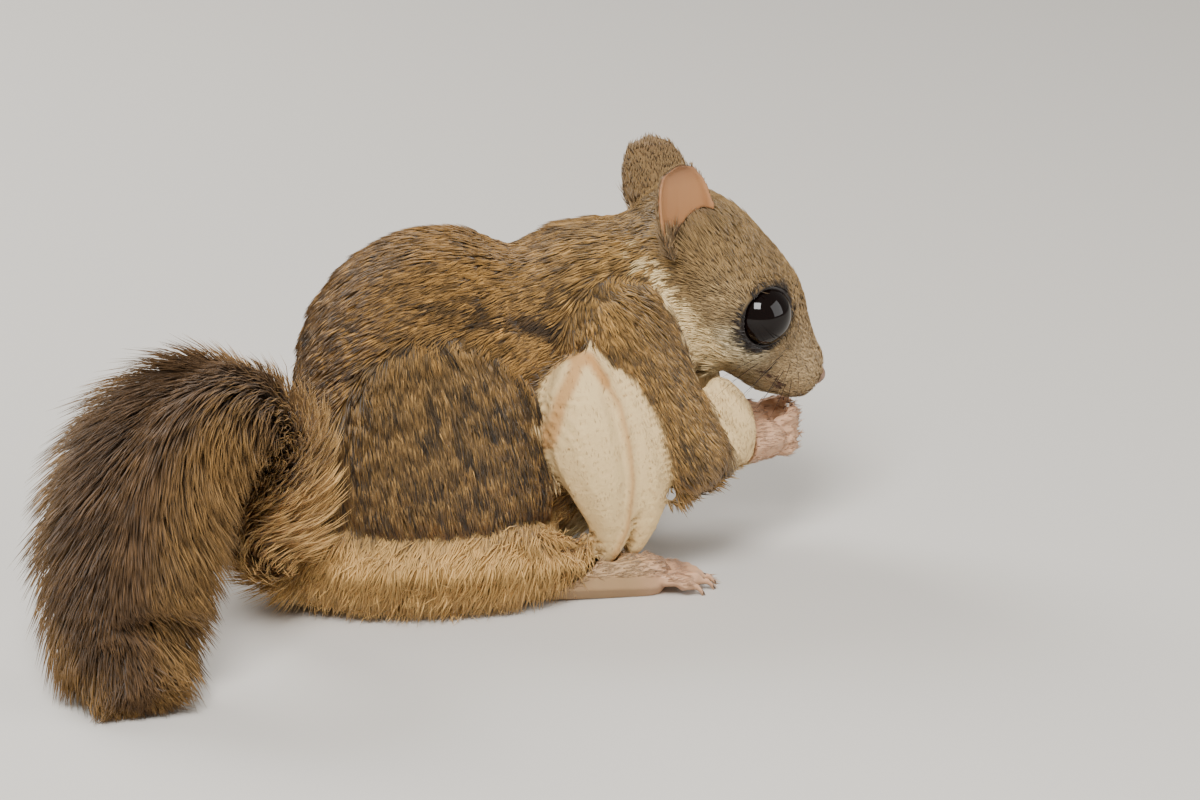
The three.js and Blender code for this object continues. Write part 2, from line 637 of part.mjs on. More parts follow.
add("head", head, fur(COAT.brown));
add("neck", neck, fur(COAT.brown));
add("chest", chest, fur(COAT.brown));
add("belly", belly, fur(COAT.brown));
add("rump", rump, fur(COAT.brown));
for (const [name, side] of [["right", 1], ["left", -1]]) {
  const sided = (solid) => (side === 1 ? solid : mirrored(solid));
  add("eye_" + name, ball(eyeAt(side), EYE_RADIUS), finish(COAT.eye, 0.08));
  add("ear_" + name, ear(side).subtract(join(headSwollen, trunkSwollen)), finish(COAT.skin, 0.7));
  add("foreleg_" + name, sided(arm), fur(COAT.brown));
  add("hand_" + name, sided(hand), finish(COAT.skin, 0.7));
  add("thigh_" + name, sided(thigh), fur(COAT.flank));
  add("foot_" + name, sided(foot), finish(COAT.skin, 0.7));
  add("membrane_" + name, sided(membrane), fur(COAT.cream));
}
for (let i = 0; i < TAIL_LENGTHS; i++) add("tail_" + (i + 1), tailLength(i), fur(COAT.tail));

// The origin is below the middle of the whole animal, on the floor.
const box = new THREE.Box3().setFromObject(squirrel);
const middle = box.getCenter(point(0, 0, 0));
squirrel.position.set(-middle.x, -middle.y, -box.min.z);

export default squirrel;
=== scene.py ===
import json
import math

import bpy
import numpy as np
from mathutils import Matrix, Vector
from mathutils.kdtree import KDTree

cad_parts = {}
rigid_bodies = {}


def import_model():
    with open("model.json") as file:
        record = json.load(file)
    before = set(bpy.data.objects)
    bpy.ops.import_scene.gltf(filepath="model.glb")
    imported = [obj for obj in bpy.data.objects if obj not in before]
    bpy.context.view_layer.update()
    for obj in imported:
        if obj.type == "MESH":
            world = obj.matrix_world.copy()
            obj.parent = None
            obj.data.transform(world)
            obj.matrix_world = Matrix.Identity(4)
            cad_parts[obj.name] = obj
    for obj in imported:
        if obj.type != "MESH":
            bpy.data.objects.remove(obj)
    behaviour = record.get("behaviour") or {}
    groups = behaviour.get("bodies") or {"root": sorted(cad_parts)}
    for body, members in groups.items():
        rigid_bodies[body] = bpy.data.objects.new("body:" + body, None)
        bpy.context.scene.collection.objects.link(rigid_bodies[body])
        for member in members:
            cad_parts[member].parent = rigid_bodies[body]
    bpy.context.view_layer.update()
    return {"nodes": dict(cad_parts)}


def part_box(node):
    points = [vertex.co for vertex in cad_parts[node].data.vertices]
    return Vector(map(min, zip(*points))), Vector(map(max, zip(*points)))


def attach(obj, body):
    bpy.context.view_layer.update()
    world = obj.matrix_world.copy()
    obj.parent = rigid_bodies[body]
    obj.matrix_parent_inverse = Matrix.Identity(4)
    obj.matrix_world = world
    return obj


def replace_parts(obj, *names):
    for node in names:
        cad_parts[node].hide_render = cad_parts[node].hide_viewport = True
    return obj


bpy.ops.object.select_all(action="SELECT")
bpy.ops.object.delete()
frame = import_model()

# ---------------------------------------------------------------------------------------------
# Camera: a long lens, a little above the animal and round toward its tail. The body is laid out in
# millimetres from a point on the floor below its middle, and HOME is that point in the frame.
MM = 0.001
EYES_MIDDLE = np.array([48.136, -0.183, 44.134])  # between the eyeballs, body millimetres
eye_boxes = {side: np.array([list(c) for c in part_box("eye_" + side)]) for side in ("right", "left")}
HOME = np.mean([box.mean(axis=0) for box in eye_boxes.values()], axis=0) - EYES_MIDDLE * MM

AZIMUTH, ELEVATION = math.radians(-15), math.radians(19)
DISTANCE = 900.0
AIM_RIGHT, AIM_UP = 21.05, 29.05  # from the body's origin to the middle of the picture
SENSOR_WIDTH, FOCAL_LENGTH = 36, 153.9
CLIP_START = 0.01
rightward = np.array([math.cos(AZIMUTH), math.sin(AZIMUTH), 0])
toward = np.array(
    [
        math.sin(AZIMUTH) * math.cos(ELEVATION),
        -math.cos(AZIMUTH) * math.cos(ELEVATION),
        math.sin(ELEVATION),
    ]
)
upward = np.cross(toward, rightward)
stand = rightward * AIM_RIGHT + upward * AIM_UP + toward * DISTANCE
bpy.ops.object.camera_add(location=HOME + stand * MM)
camera = bpy.context.object
camera.name = "camera"
camera.rotation_euler = Vector(-toward).to_track_quat("-Z", "Y").to_euler()
camera.data.sensor_width = SENSOR_WIDTH
camera.data.lens = FOCAL_LENGTH
camera.data.clip_start = CLIP_START
bpy.context.scene.camera = camera

# ---------------------------------------------------------------------------------------------
# Tail core: the bones and flesh of the tail, a flat tapering rod about 14 mm wide. It leaves the
# rump low, bends up and back, and comes down to the floor on the right. The skin is drawn over it.
TAIL_STATIONS = np.array(
    [
        [-27, 1, 14],
        [-37, -5, 11],
        [-42.5, -11, 15],
        [-40.5, -15.5, 27],
        [-42.5, -18.5, 36.5],
        [-50, -22.5, 42],
        [-58.5, -28, 40.5],
        [-65.5, -34, 33],
        [-69, -38.5, 22],
        [-70, -43, 10],
        [-69.5, -50, 4.5],
    ],
    dtype=float,
)
TAIL_STEPS = 120
STEPS_BETWEEN_STATIONS = 24
CORE_HALF_WIDTH, CORE_HALF_DEPTH = 7.0, 3.4
CORE_SIDES = 18


def above(value, low, high):
    """Nought up to low and one from high on, with a soft step between them."""
    t = np.clip((value - low) / (high - low), 0, 1)
    return t * t * (3 - 2 * t)


def along(stations, steps):
    """A smooth path through stations at even steps, and its direction at each."""
    ends = np.vstack([2 * stations[0] - stations[1], stations, 2 * stations[-1] - stations[-2]])
    t = np.linspace(0, 1, STEPS_BETWEEN_STATIONS, endpoint=False)[:, None]
    fine = []
    for i in range(len(stations) - 1):
        a, b, c, d = ends[i : i + 4]
        square, cube = 2 * a - 5 * b + 4 * c - d, 3 * b - a - 3 * c + d
        fine.append(0.5 * (2 * b + (c - a) * t + square * t**2 + cube * t**3))
    fine = np.vstack(fine + [stations[-1:]])
    run = np.concatenate([[0], np.cumsum(np.linalg.norm(np.diff(fine, axis=0), axis=1))])
    even = np.linspace(0, run[-1], steps)
    path = np.stack([np.interp(even, run, fine[:, k]) for k in range(3)], axis=1)
    onward = np.gradient(path, axis=0)
    return path, onward / np.linalg.norm(onward, axis=1)[:, None]


def end_taper(t):
    """Draws the tail's core in to a blunt point over its last ninth."""
    return np.sqrt(np.minimum(1, (1 - t) * 9 + 0.01))


def tube_faces(rings, sides, base=0):
    """The faces of a closed tube whose corners run ring by ring from number base."""
    last = base + (rings - 1) * sides
    faces = [
        (a + j, a + (j + 1) % sides, a + sides + (j + 1) % sides, a + sides + j)
        for a in range(base, last, sides)
        for j in range(sides)
    ]
    return faces + [tuple(range(base + sides - 1, base - 1, -1)), tuple(range(last, last + sides))]


def mesh_of(name, places, faces):
    data = bpy.data.meshes.new(name)
    data.from_pydata([tuple(p) for p in places], [], faces)
    piece = bpy.data.objects.new(name, data)
    bpy.context.scene.collection.objects.link(piece)
    return piece


tail_path, tail_onward = along(TAIL_STATIONS, TAIL_STEPS)
tail_t = np.linspace(0, 1, TAIL_STEPS)
tail_turn = np.radians(40 * above(tail_t, 0.1, 0.45) + 12 * above(tail_t, 0.5, 0.8))
tail_across = np.stack([np.sin(tail_turn), -np.cos(tail_turn), 0 * tail_t], axis=1)
tail_across -= tail_onward * np.sum(tail_across * tail_onward, axis=1)[:, None]
tail_across /= np.linalg.norm(tail_across, axis=1)[:, None]
tail_top = np.cross(tail_onward, tail_across)
tail_fade = 0.72 + 0.28 * above(tail_t, 0, 0.3) - 0.24 * above(tail_t, 0.8, 1)
core_size = end_taper(tail_t)[:, None] * tail_fade[:, None]
core_rings = []
for angle in np.linspace(0, 2 * math.pi, CORE_SIDES, endpoint=False):
    sideways = tail_across * CORE_HALF_WIDTH * math.cos(angle)
    core_rings.append(tail_path + core_size * (sideways + tail_top * CORE_HALF_DEPTH * math.sin(angle)))
core_places = HOME + np.stack(core_rings, axis=1).reshape(-1, 3) * MM
tail_core = mesh_of("tail_core", core_places, tube_faces(TAIL_STEPS, CORE_SIDES))

# ---------------------------------------------------------------------------------------------
# Skin: one skin over the whole animal, drawn over the solids' flesh and the tail's core. It closes
# the parting cuts, and it lies below the fur's surface by the depth of the coat at each place.
FLESH = ["head", "neck", "chest", "belly", "rump"]
FLESH += [f"{part}_{side}" for part in ("foreleg", "thigh", "membrane") for side in ("right", "left")]
TAIL_NODES = [f"tail_{i}" for i in range(1, 6)]
SWELL = 0.2 * MM  # closes half of a parting cut
MERGE_DISTANCE = 2e-6
SKIN_VOXEL = 0.61 * MM
FLOOR_GAP = 0.1 * MM  # under the skin


def only(*pieces):
    bpy.ops.object.select_all(action="DESELECT")
    for piece in pieces:
        piece.select_set(True)
    bpy.context.view_layer.objects.active = pieces[0]


def edited(piece, operator, **settings):
    """Runs one operator of edit mode on the whole of a piece."""
    only(piece)
    bpy.ops.object.mode_set(mode="EDIT")
    bpy.ops.mesh.select_all(action="SELECT")
    operator(**settings)
    bpy.ops.object.mode_set(mode="OBJECT")


def modified(piece, kind, **settings):
    only(piece)
    modifier = piece.modifiers.new(kind.lower(), kind)
    for key, value in settings.items():
        setattr(modifier, key, value)
    bpy.ops.object.modifier_apply(modifier=modifier.name)


def copies_of(nodes, name):
    """The named solids' meshes, merged into closed surfaces in one piece."""
    made = []
    for node in nodes:
        piece = bpy.data.objects.new(node + "_copy", frame["nodes"][node].data.copy())
        bpy.context.scene.collection.objects.link(piece)
        made.append(piece)
    only(*made)
    bpy.ops.object.join()
    joined = bpy.context.object
    joined.name = joined.data.name = name
    edited(joined, bpy.ops.mesh.remove_doubles, threshold=MERGE_DISTANCE)
    joined.data.materials.clear()
    return joined


def places_of(piece):
    places = np.empty(len(piece.data.vertices) * 3)
    piece.data.vertices.foreach_get("co", places)
    return places.reshape(-1, 3)


def put_places(piece, places):
    piece.data.vertices.foreach_set("co", places.ravel())
    piece.data.update()


def normals_of(piece):
    normals = np.empty(len(piece.data.vertices) * 3)
    piece.data.vertex_normals.foreach_get("vector", normals)
    return normals.reshape(-1, 3)


skin = copies_of(FLESH, "skin")
edited(skin, bpy.ops.transform.shrink_fatten, value=SWELL)
only(skin, tail_core)
bpy.ops.object.join()
modified(skin, "REMESH", mode="VOXEL", voxel_size=SKIN_VOXEL)
modified(skin, "SMOOTH", factor=0.5, iterations=14)

# The parts of the body, each a soft share of nought to one over the skin. Lines and eggs are on
# the left side, in body millimetres, and stand for both sides; the head has axes of its own.
HEAD_AT = np.array([42.0, 0, 53.5])
PITCH, ROLL = math.radians(46), math.radians(5)  # nose down, right side up
level = np.array([0.0, 1, 0])
crown = np.array([math.sin(PITCH), 0, math.cos(PITCH)])
head_x = np.array([math.cos(PITCH), 0, -math.sin(PITCH)])
head_y = level * math.cos(ROLL) - crown * math.sin(ROLL)
head_z = level * math.sin(ROLL) + crown * math.cos(ROLL)

SHOULDER, ELBOW, WRIST = [22, 10.5, 45], [33, 14.5, 23.5], [46, 8, 20.6]
HAUNCH_AT, HAUNCH_SIZES = [-11, 20.5, 24.5], [21, 16, 25]
REAR_FOLD = [[15, 17.5, 46], [13.2, 20, 35], [16, 20.5, 24], [18.6, 19.5, 13], [17.5, 18.5, 3]]
FRONT_FOLD = [[17.5, 15.5, 45], [20.5, 17, 33], [23.5, 17.5, 21], [24.3, 17, 12], [21.5, 16.5, 3]]
WRIST_ROLL_AT, WRIST_ROLL_SIZES, WRIST_ROLL_LEAN = [42.4, 10.5, 27.5], [4.4, 4.2, 8.4], -22
FLOOR_ROLL_LINE = [[-41, 5, 6.5], [-31, 13, 8.5], [-10, 17.5, 8.5], [19.5, 18, 7]]
EAR_FOOT = [[-9, 8.4, -3], [-9.5, 9.2, 4]]  # in the head's axes
LEAF_STEPS = 40


def below(value, low, high):
    """One up to low and nought from high on, with a soft step between them."""
    return above(-value, -high, -low)


def mix(a, b, t):
    return a + (b - a) * t


def in_body(places):
    """Frame metres to body millimetres."""
    return (places - HOME) / MM


def in_head(p):
    """Body millimetres to the head's own axes: to the nose, to the left and to the crown."""
    d = p - HEAD_AT
    return np.stack([d @ head_x, d @ head_y, d @ head_z], axis=1)


def both_sides(p):
    """Folds the right side on to the left."""
    return np.stack([p[:, 0], np.abs(p[:, 1]), p[:, 2]], axis=1)


def egg(p, at, sizes, lean=0):
    """Nought at the middle of an egg, leaned by degrees, and one at its surface."""
    a = math.radians(lean)
    d = both_sides(p) - np.array(at)
    x = d[:, 0] * math.cos(a) - d[:, 2] * math.sin(a)
    z = d[:, 0] * math.sin(a) + d[:, 2] * math.cos(a)
    return np.linalg.norm(np.stack([x, d[:, 1], z], axis=1) / np.array(sizes), axis=1)


def off_line(p, stations):
    """Distance from a bent line."""
    q = both_sides(p)
    nearest = np.full(len(p), 1e3)
    for a, b in zip(np.array(stations[:-1], float), np.array(stations[1:], float)):
        t = np.clip((q - a) @ (b - a) / ((b - a) @ (b - a)), 0, 1)
        nearest = np.minimum(nearest, np.linalg.norm(q - a - t[:, None] * (b - a), axis=1))
    return nearest


def off_side_line(p, stations):
    """Distance from a bent line seen square from the side: x and z alone."""
    flat = np.stack([p[:, 0], 0 * p[:, 0], p[:, 2]], axis=1)
    return off_line(flat, [[x, 0, z] for x, z in stations])


def leaf_share(p, stations, wide, deep, fullest):
    """One within a leaf-shaped fold of the membrane and nought outside it."""
    path, onward = along(np.array(stations, float), LEAF_STEPS)
    t = np.linspace(0, 1, LEAF_STEPS)
    swell = np.maximum(np.sin(math.pi * t**fullest), 0.02)
    q = both_sides(p)
    least = np.full(len(p), 9.0)
    for k in range(LEAF_STEPS):
        d = q - path[k]
        lengthwise = d @ onward[k] / 1.2
        outward = d[:, 1] / (deep * swell[k] ** 0.6)
        across = (d[:, 0] * onward[k, 2] - d[:, 2] * onward[k, 0]) / (wide * swell[k] ** 0.85)
        least = np.minimum(least, np.sqrt(outward**2 + across**2 + lengthwise**2))
    return below(least, 1.02, 1.16)


def regions(p):
    """How far each place belongs to each part of the body."""
    h = in_head(p)
    x, side, z = p[:, 0], np.abs(p[:, 1]), p[:, 2]
    off_tail = np.full(len(p), 1e3)
    for q in tail_path[::3]:
        off_tail = np.minimum(off_tail, np.linalg.norm(p - q, axis=1))
    past_rump = -33 - x + 0.25 * (p[:, 1] + 2) - 0.12 * (z - 12)
    past_nape = (x - 34.5) * 0.949 + (z - 50) * 0.316
    head = above(past_nape, -4, 3) * above(h[:, 2], -16.5, -13)
    arm = below(off_line(p, [SHOULDER, ELBOW]), 9, 11.5) * (1 - head)
    forearm = below(off_line(p, [ELBOW, WRIST]), 6, 8) * (1 - head)
    rear_fold = leaf_share(p, REAR_FOLD, 8.0, 6.0, 0.72)
    front_fold = leaf_share(p, FRONT_FOLD, 6.4, 5.6, 0.85)
    wrist_roll = below(egg(p, WRIST_ROLL_AT, WRIST_ROLL_SIZES, WRIST_ROLL_LEAN), 1.1, 1.35)
    fold = np.maximum(np.maximum(rear_fold, front_fold) * above(side, 11, 14), wrist_roll)
    return dict(
        h=h,
        tail=above(past_rump, 0, 4) * below(off_tail, 9, 11),
        head=head,
        muzzle=head * above(h[:, 0], 13, 22),
        ear_foot=below(off_line(h, EAR_FOOT), 3.5, 6),
        arm=arm,
        forearm=forearm,
        forearm_only=forearm * (1 - arm),
        limb=np.maximum(arm, forearm),
        haunch=below(egg(p, HAUNCH_AT, HAUNCH_SIZES), 0.97, 1.06) * above(side, 8, 13),
        fold=fold,
        fringe=below(off_line(p, FLOOR_ROLL_LINE), 9, 11.5) * below(z, 13.5, 19) * (1 - fold),
        under=below(z, 10, 22) * below(side, 9, 13),
    )


def by_region(r, back, **own):
    """A measure over the body: the back's, with each other part's laid over it in turn."""
    measure = np.full(len(r["h"]), back)
    for region, value in own.items():
        measure = mix(measure, value, r[region])
    return measure


# The skin is let in by the depth of the coat, in millimetres. Behind the parting line the front
# fold of the membrane hangs over the rear one, which is let in by a step.
PARTING_LINE = [
    [14.7, 43.5], [17, 39.6], [19.3, 35.4], [20.7, 28.2], [21.4, 21.7], [20.8, 13.1], [18.9, 7.5]
]
STEP_DEPTH = 0.9
p = in_body(places_of(skin))
r = regions(p)
depth = by_region(
    r, back=1.5, arm=0.9, forearm=0.6, fringe=3.0, fold=0.5, head=0.75, muzzle=0.25, tail=0.0
)
upward_line = np.array(PARTING_LINE[::-1])
behind = above(np.interp(p[:, 2], upward_line[:, 1], upward_line[:, 0]) - p[:, 0], -0.2, 0.5)
step = behind * below(off_side_line(p, PARTING_LINE), 0, 4.5) * r["fold"] * below(p[:, 0], 26, 30)
put_places(skin, places_of(skin) - normals_of(skin) * (depth + STEP_DEPTH * step)[:, None] * MM)
modified(skin, "SMOOTH", factor=0.5, iterations=2)
places = places_of(skin)
places[:, 2] = np.maximum(places[:, 2], HOME[2] + FLOOR_GAP)
put_places(skin, places)


def add_node(tree, kind, links=(), **settings):
    """Adds a node, sets its properties and sockets, and links other nodes' outputs into it."""
    node = tree.nodes.new(kind)
    for key, value in settings.items():
        if hasattr(node, key):
            setattr(node, key, value)
        else:
            node.inputs[key.replace("_", " ")].default_value = value
    for output, socket in links:
        tree.links.new(output, node.inputs[socket])
    return node


def new_material(name):
    material = bpy.data.materials.new(name)
    material.use_nodes = True
    material.node_tree.nodes.clear()
    return material, material.node_tree


def settle(piece, name, material):
    """Puts a finished piece's place into its mesh, names it and sets its material."""
    only(piece)
    bpy.ops.object.transform_apply(location=True, rotation=True, scale=True)
    piece.name = piece.data.name = name
    piece.data.materials.clear()
    piece.data.materials.append(material)
    bpy.ops.object.shade_smooth()
    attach(piece, "root")
    return piece


def unwrap(piece):
    edited(piece, bpy.ops.uv.smart_project, angle_limit=math.radians(70), island_margin=0.002)
    piece.data.uv_layers[0].name = "OFBake"


# Skin under fur: matt and finely wrinkled, so that nothing shines between the tufts. The wrinkles
# are about 0.7 mm apart, a little coarser than real ones, so that they show.
WRINKLES_PER_METRE = 1400.0
skin_material, tree = new_material("skin_under_fur")
marks = add_node(tree, "ShaderNodeAttribute", attribute_name="Markings")
place = add_node(tree, "ShaderNodeTexCoord")
wrinkle = add_node(
    tree,
    "ShaderNodeTexNoise",
    [(place.outputs["Object"], "Vector")],
    Scale=WRINKLES_PER_METRE,
    Detail=3.0,
)
bump = add_node(
    tree, "ShaderNodeBump", [(wrinkle.outputs["Fac"], "Height")], Strength=0.35, Distance=0.4 * MM
)
shader = add_node(
    tree,
    "ShaderNodeBsdfPrincipled",
    [(marks.outputs["Color"], "Base Color"), (bump.outputs["Normal"], "Normal")],
    Roughness=0.8,
)
add_node(tree, "ShaderNodeOutputMaterial", [(shader.outputs[0], "Surface")])
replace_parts(skin, *FLESH, *TAIL_NODES)
settle(skin, "skin", skin_material)
unwrap(skin)

# ---------------------------------------------------------------------------------------------
# Markings: the colours of skin and coat alike, kept as an attribute at each corner. Brown above,
# greyer and streaked on the haunches, cream below and on the membrane, dark round the eyes, with
# painted shadow along the crease between the back and the membrane and painted shade in the hollow by
# the elbow.


def linear(code):
    """An sRGB hex value as linear colour."""
    c = np.array([int(code[i : i + 2], 16) / 255 for i in (1, 3, 5)])
    return np.where(c <= 0.04045, c / 12.92, ((c + 0.055) / 1.055) ** 2.4)


BACK_BROWN, HAUNCH_BROWN, SHOULDER_BROWN = linear("#96703a"), linear("#86673a"), linear("#a17c44")
# Painted shade: a dark brown for the shadow in the crease and in the hollow by the elbow.
PAINTED_SHADE = linear("#2e2013")
CREAM, FRINGE_BUFF = linear("#ecd09a"), linear("#d4a966")
FOLD_CREAM, FOLD_RIM = linear("#dfc08a"), linear("#b57f42")
CROWN_GREY, CHEEK_TAN, CHEEK_PALE = linear("#927549"), linear("#a78c62"), linear("#d2bf98")
EYE_RING, MUZZLE_TAN, MOUTH_SHADE = linear("#22150c"), linear("#b59a72"), linear("#4a2a20")
TAIL_BROWN, TAIL_BUFF = linear("#63482a"), linear("#cba264")
MOUTH_LINE = [[19, 6.2, -8.8], [24, 5.2, -8.2], [28.7, 0, -7.3]]  # in the head's axes
CHEEK_AT, CHEEK_SIZES = (14, -8.6), (9, 4.2)  # to the nose and to the crown
EYE_RING_AT, EYE_RING_SIZES = (12.0, 10.5, -1.7), (5.9, 7.5, 6.3)
ELBOW_HOLLOW_AT, ELBOW_HOLLOW_SIZES = [12.5, 21, 14], [4.5, 8, 8]
STRIPE_LINE = [[28, 57.5], [30, 54.5], [34, 48.4], [38.2, 40.2], [40.5, 34.6], [42.4, 29]]
RIM_LINE = [[5.5, 26], [6.8, 29.1], [8.8, 37.4], [12.3, 43.2], [14.7, 43.5], [17, 39.6]]
CREASE_LINE = [[-16, 51.5], [-9.5, 52], [-0.6, 50.9], [8.2, 48.3], [14.2, 45.6], [17.5, 42.6]]


def markings(p):
    """The colour at each place: each layer is laid over those before it."""
    r = regions(p)
    x, side, z = p[:, 0], np.abs(p[:, 1]), p[:, 2]
    hx, hy, hz = r["h"].T
    # Painted shadow along the crease between the back and the membrane.
    crease_shadow = below(off_side_line(p, CREASE_LINE), 0.6, 2.4) * above(side, 8, 12) * above(x, -17, 6)
    on_fold = r["fold"] * below(x, 26, 30)
    cheek = np.hypot((hx - CHEEK_AT[0]) / CHEEK_SIZES[0], (hz - CHEEK_AT[1]) / CHEEK_SIZES[1])
    stripe_width = 1.0 + 1.4 * below(z, 40, 58) + 2.0 * below(z, 29, 36)
    stripe = above(stripe_width - off_side_line(p, STRIPE_LINE), -0.8, 0.5)
    stripe = stripe * above(side, 4, 7) * below(z, 54, 60)
    eye = (np.stack([hx, np.abs(hy), hz], axis=1) - EYE_RING_AT) / EYE_RING_SIZES
    layers = [
        (SHOULDER_BROWN, above(x, 2, 20)),
        (CREAM, r["under"]),
        (CREAM, above(x, 30, 38) * below(z, 26, 36) * (1 - r["arm"])),
        (CHEEK_TAN, above(x, 34, 40) * above(z, 28, 36) * (1 - r["arm"])),
        (HAUNCH_BROWN, r["haunch"]),
        # painted shadow in the crease
        (PAINTED_SHADE, 0.9 * crease_shadow),
        # painted shade in the hollow by the elbow
        (PAINTED_SHADE, 0.7 * below(egg(p, ELBOW_HOLLOW_AT, ELBOW_HOLLOW_SIZES), 0.5, 1.1)),
        (SHOULDER_BROWN, r["limb"]),
        (CREAM, 0.5 * r["forearm"] * above(x, 38, 46)),
        (FRINGE_BUFF, r["fringe"]),
        (FOLD_CREAM, r["fold"]),
        (FOLD_RIM, 0.75 * below(off_side_line(p, RIM_LINE), 0.4, 1.5) * on_fold),
        (FOLD_RIM, 0.6 * below(off_side_line(p, PARTING_LINE), 0.1, 0.9) * on_fold),
        (CROWN_GREY, r["head"]),
        (CHEEK_TAN, r["head"] * below(hz, -5, 1) * above(hx, -6, 4)),
        (CHEEK_PALE, r["head"] * below(cheek, 0.5, 1.1)),
        (CREAM, r["head"] * below(hz, -12.0, -9.0) * above(hx, 2, 8)),
        (MUZZLE_TAN, r["muzzle"] * below(hz, -2, 8) * 0.8),
        (CREAM, stripe * (1 - above(hx, 8, 14))),
        (EYE_RING, r["head"] * below(np.linalg.norm(eye, axis=1), 0.96, 1.1)),
        # painted shade in the seam of the lips
        (MOUTH_SHADE, r["head"] * below(off_line(r["h"], MOUTH_LINE), 0.35, 0.9)),
        (TAIL_BROWN, r["tail"]),
        (TAIL_BUFF, 0.92 * (r["tail"] * above(x, -52, -44) * below(z, 30, 40))),
    ]
    colours = np.repeat(BACK_BROWN[None], len(p), axis=0)
    for colour, amount in layers:
        colours = mix(colours, colour, amount[:, None])
    return colours


def colour_points(piece, colours):
    layer = piece.data.attributes.new("Markings", "FLOAT_COLOR", "POINT")
    full = np.ones((len(colours), 4))
    full[:, :3] = colours
    layer.data.foreach_set("color", full.ravel())


# Painted shade under the coat: the skin is darker than the hair's tips where the coat is thick, and
# nearly alike where it is thin.
SHADED, OPEN = 0.62, 0.96
p = in_body(places_of(skin))
r = regions(p)
thin_coat = np.maximum(np.maximum(r["fold"], r["muzzle"]), 0.6 * r["fringe"])
colour_points(skin, markings(p) * mix(SHADED, OPEN, thin_coat)[:, None])

# ---------------------------------------------------------------------------------------------
# Coat: short soft hair over the whole skin, made as small tufts, each a thin tapered blade of a few
# faces. They lie back along the body, draw together into locks, and are shortest on the folds.
PIECE_TRIANGLES = 195000  # at most, in one piece of hair
PATCH = 0.003  # a tuft's patch on the unwrap
TUFT_CLEARANCE = 0.15 * MM  # over the floor
TUFT_FLATNESS = 0.55  # thickness to width
SHORT_TUFT = [(0.0, 0.9), (0.5, 1.0)]  # share of the length and of the width at each ring
LONG_TUFT = [(0.0, 0.8), (0.36, 1.0), (0.72, 0.62)]
TUFTS_IN_LOCK = 9
NOSE_AT = [29.7, 0, -2.4]  # in the head's axes
NOSE_FOOT = [29.7, 0, -3.4]
NOSE_CLEARING, EYE_CLEARING = 2.6, 6.0  # kept free of tufts, in millimetres
rng = np.random.default_rng(20)

# Fur: fine hair with a low satin gloss along it.
fur_material, tree = new_material("soft_fur")
marks = add_node(tree, "ShaderNodeAttribute", attribute_name="Markings")
shader = add_node(
    tree,
    "ShaderNodeBsdfPrincipled",
    [(marks.outputs["Color"], "Base Color")],
    Roughness=0.62,
    Specular_IOR_Level=0.28,
    Sheen_Weight=0.12,
)
add_node(tree, "ShaderNodeOutputMaterial", [(shader.outputs[0], "Surface")])


def unit(v):
    return v / (np.linalg.norm(v, axis=1)[:, None] + 1e-12)


def laid_on(way, normal):
    """Turns a way to lie along the skin."""
    return unit(way - normal * np.sum(way * normal, axis=1)[:, None])


def grown(root, lie, normal, onward, outward):
    """From root, onward along the skin and outward from it."""
    return root + lie * onward[:, None] + normal * outward[:, None]


def roots_on(piece, density):
    """Random roots over a piece's faces: place, normal and place on its unwrap."""
    data = piece.data
    data.calc_loop_triangles()
    n = len(data.loop_triangles)
    corners, loops = np.empty(n * 3, int), np.empty(n * 3, int)
    data.loop_triangles.foreach_get("vertices", corners)
    data.loop_triangles.foreach_get("loops", loops)
    corners, loops = corners.reshape(-1, 3), loops.reshape(-1, 3)
    uv = np.empty(len(data.loops) * 2)
    data.uv_layers["OFBake"].data.foreach_get("uv", uv)
    places = places_of(piece)
    a, b, c = (places[corners[:, k]] for k in range(3))
    area = np.linalg.norm(np.cross(b - a, c - a), axis=1) / 2 / MM**2
    count = rng.poisson(area * density(in_body((a + b + c) / 3)))
    chosen = np.repeat(np.arange(n), count)
    u, v = rng.random(len(chosen)), rng.random(len(chosen))
    over = u + v > 1
    u[over], v[over] = 1 - u[over], 1 - v[over]
    share = np.stack([1 - u - v, u, v], axis=1)

    def between(values, index):
        return np.einsum("nk,nkd->nd", share, values[index[chosen]])

    normal = unit(between(normals_of(piece), corners))
    return between(places, corners), normal, between(uv.reshape(-1, 2), loops)


def gathered(root, tip, spacing, amount):
    """Draws the tips of neighbouring tufts together into locks."""
    picked = rng.permutation(len(root))[: max(1, int(len(root) / spacing))]
    tree = KDTree(len(picked))
    for k, i in enumerate(picked):
        tree.insert(root[i], k)
    tree.balance()
    lock = np.array([tree.find(place)[1] for place in root])
    return tip + (tip[picked[lock]] - tip) * amount[:, None], lock, len(picked)


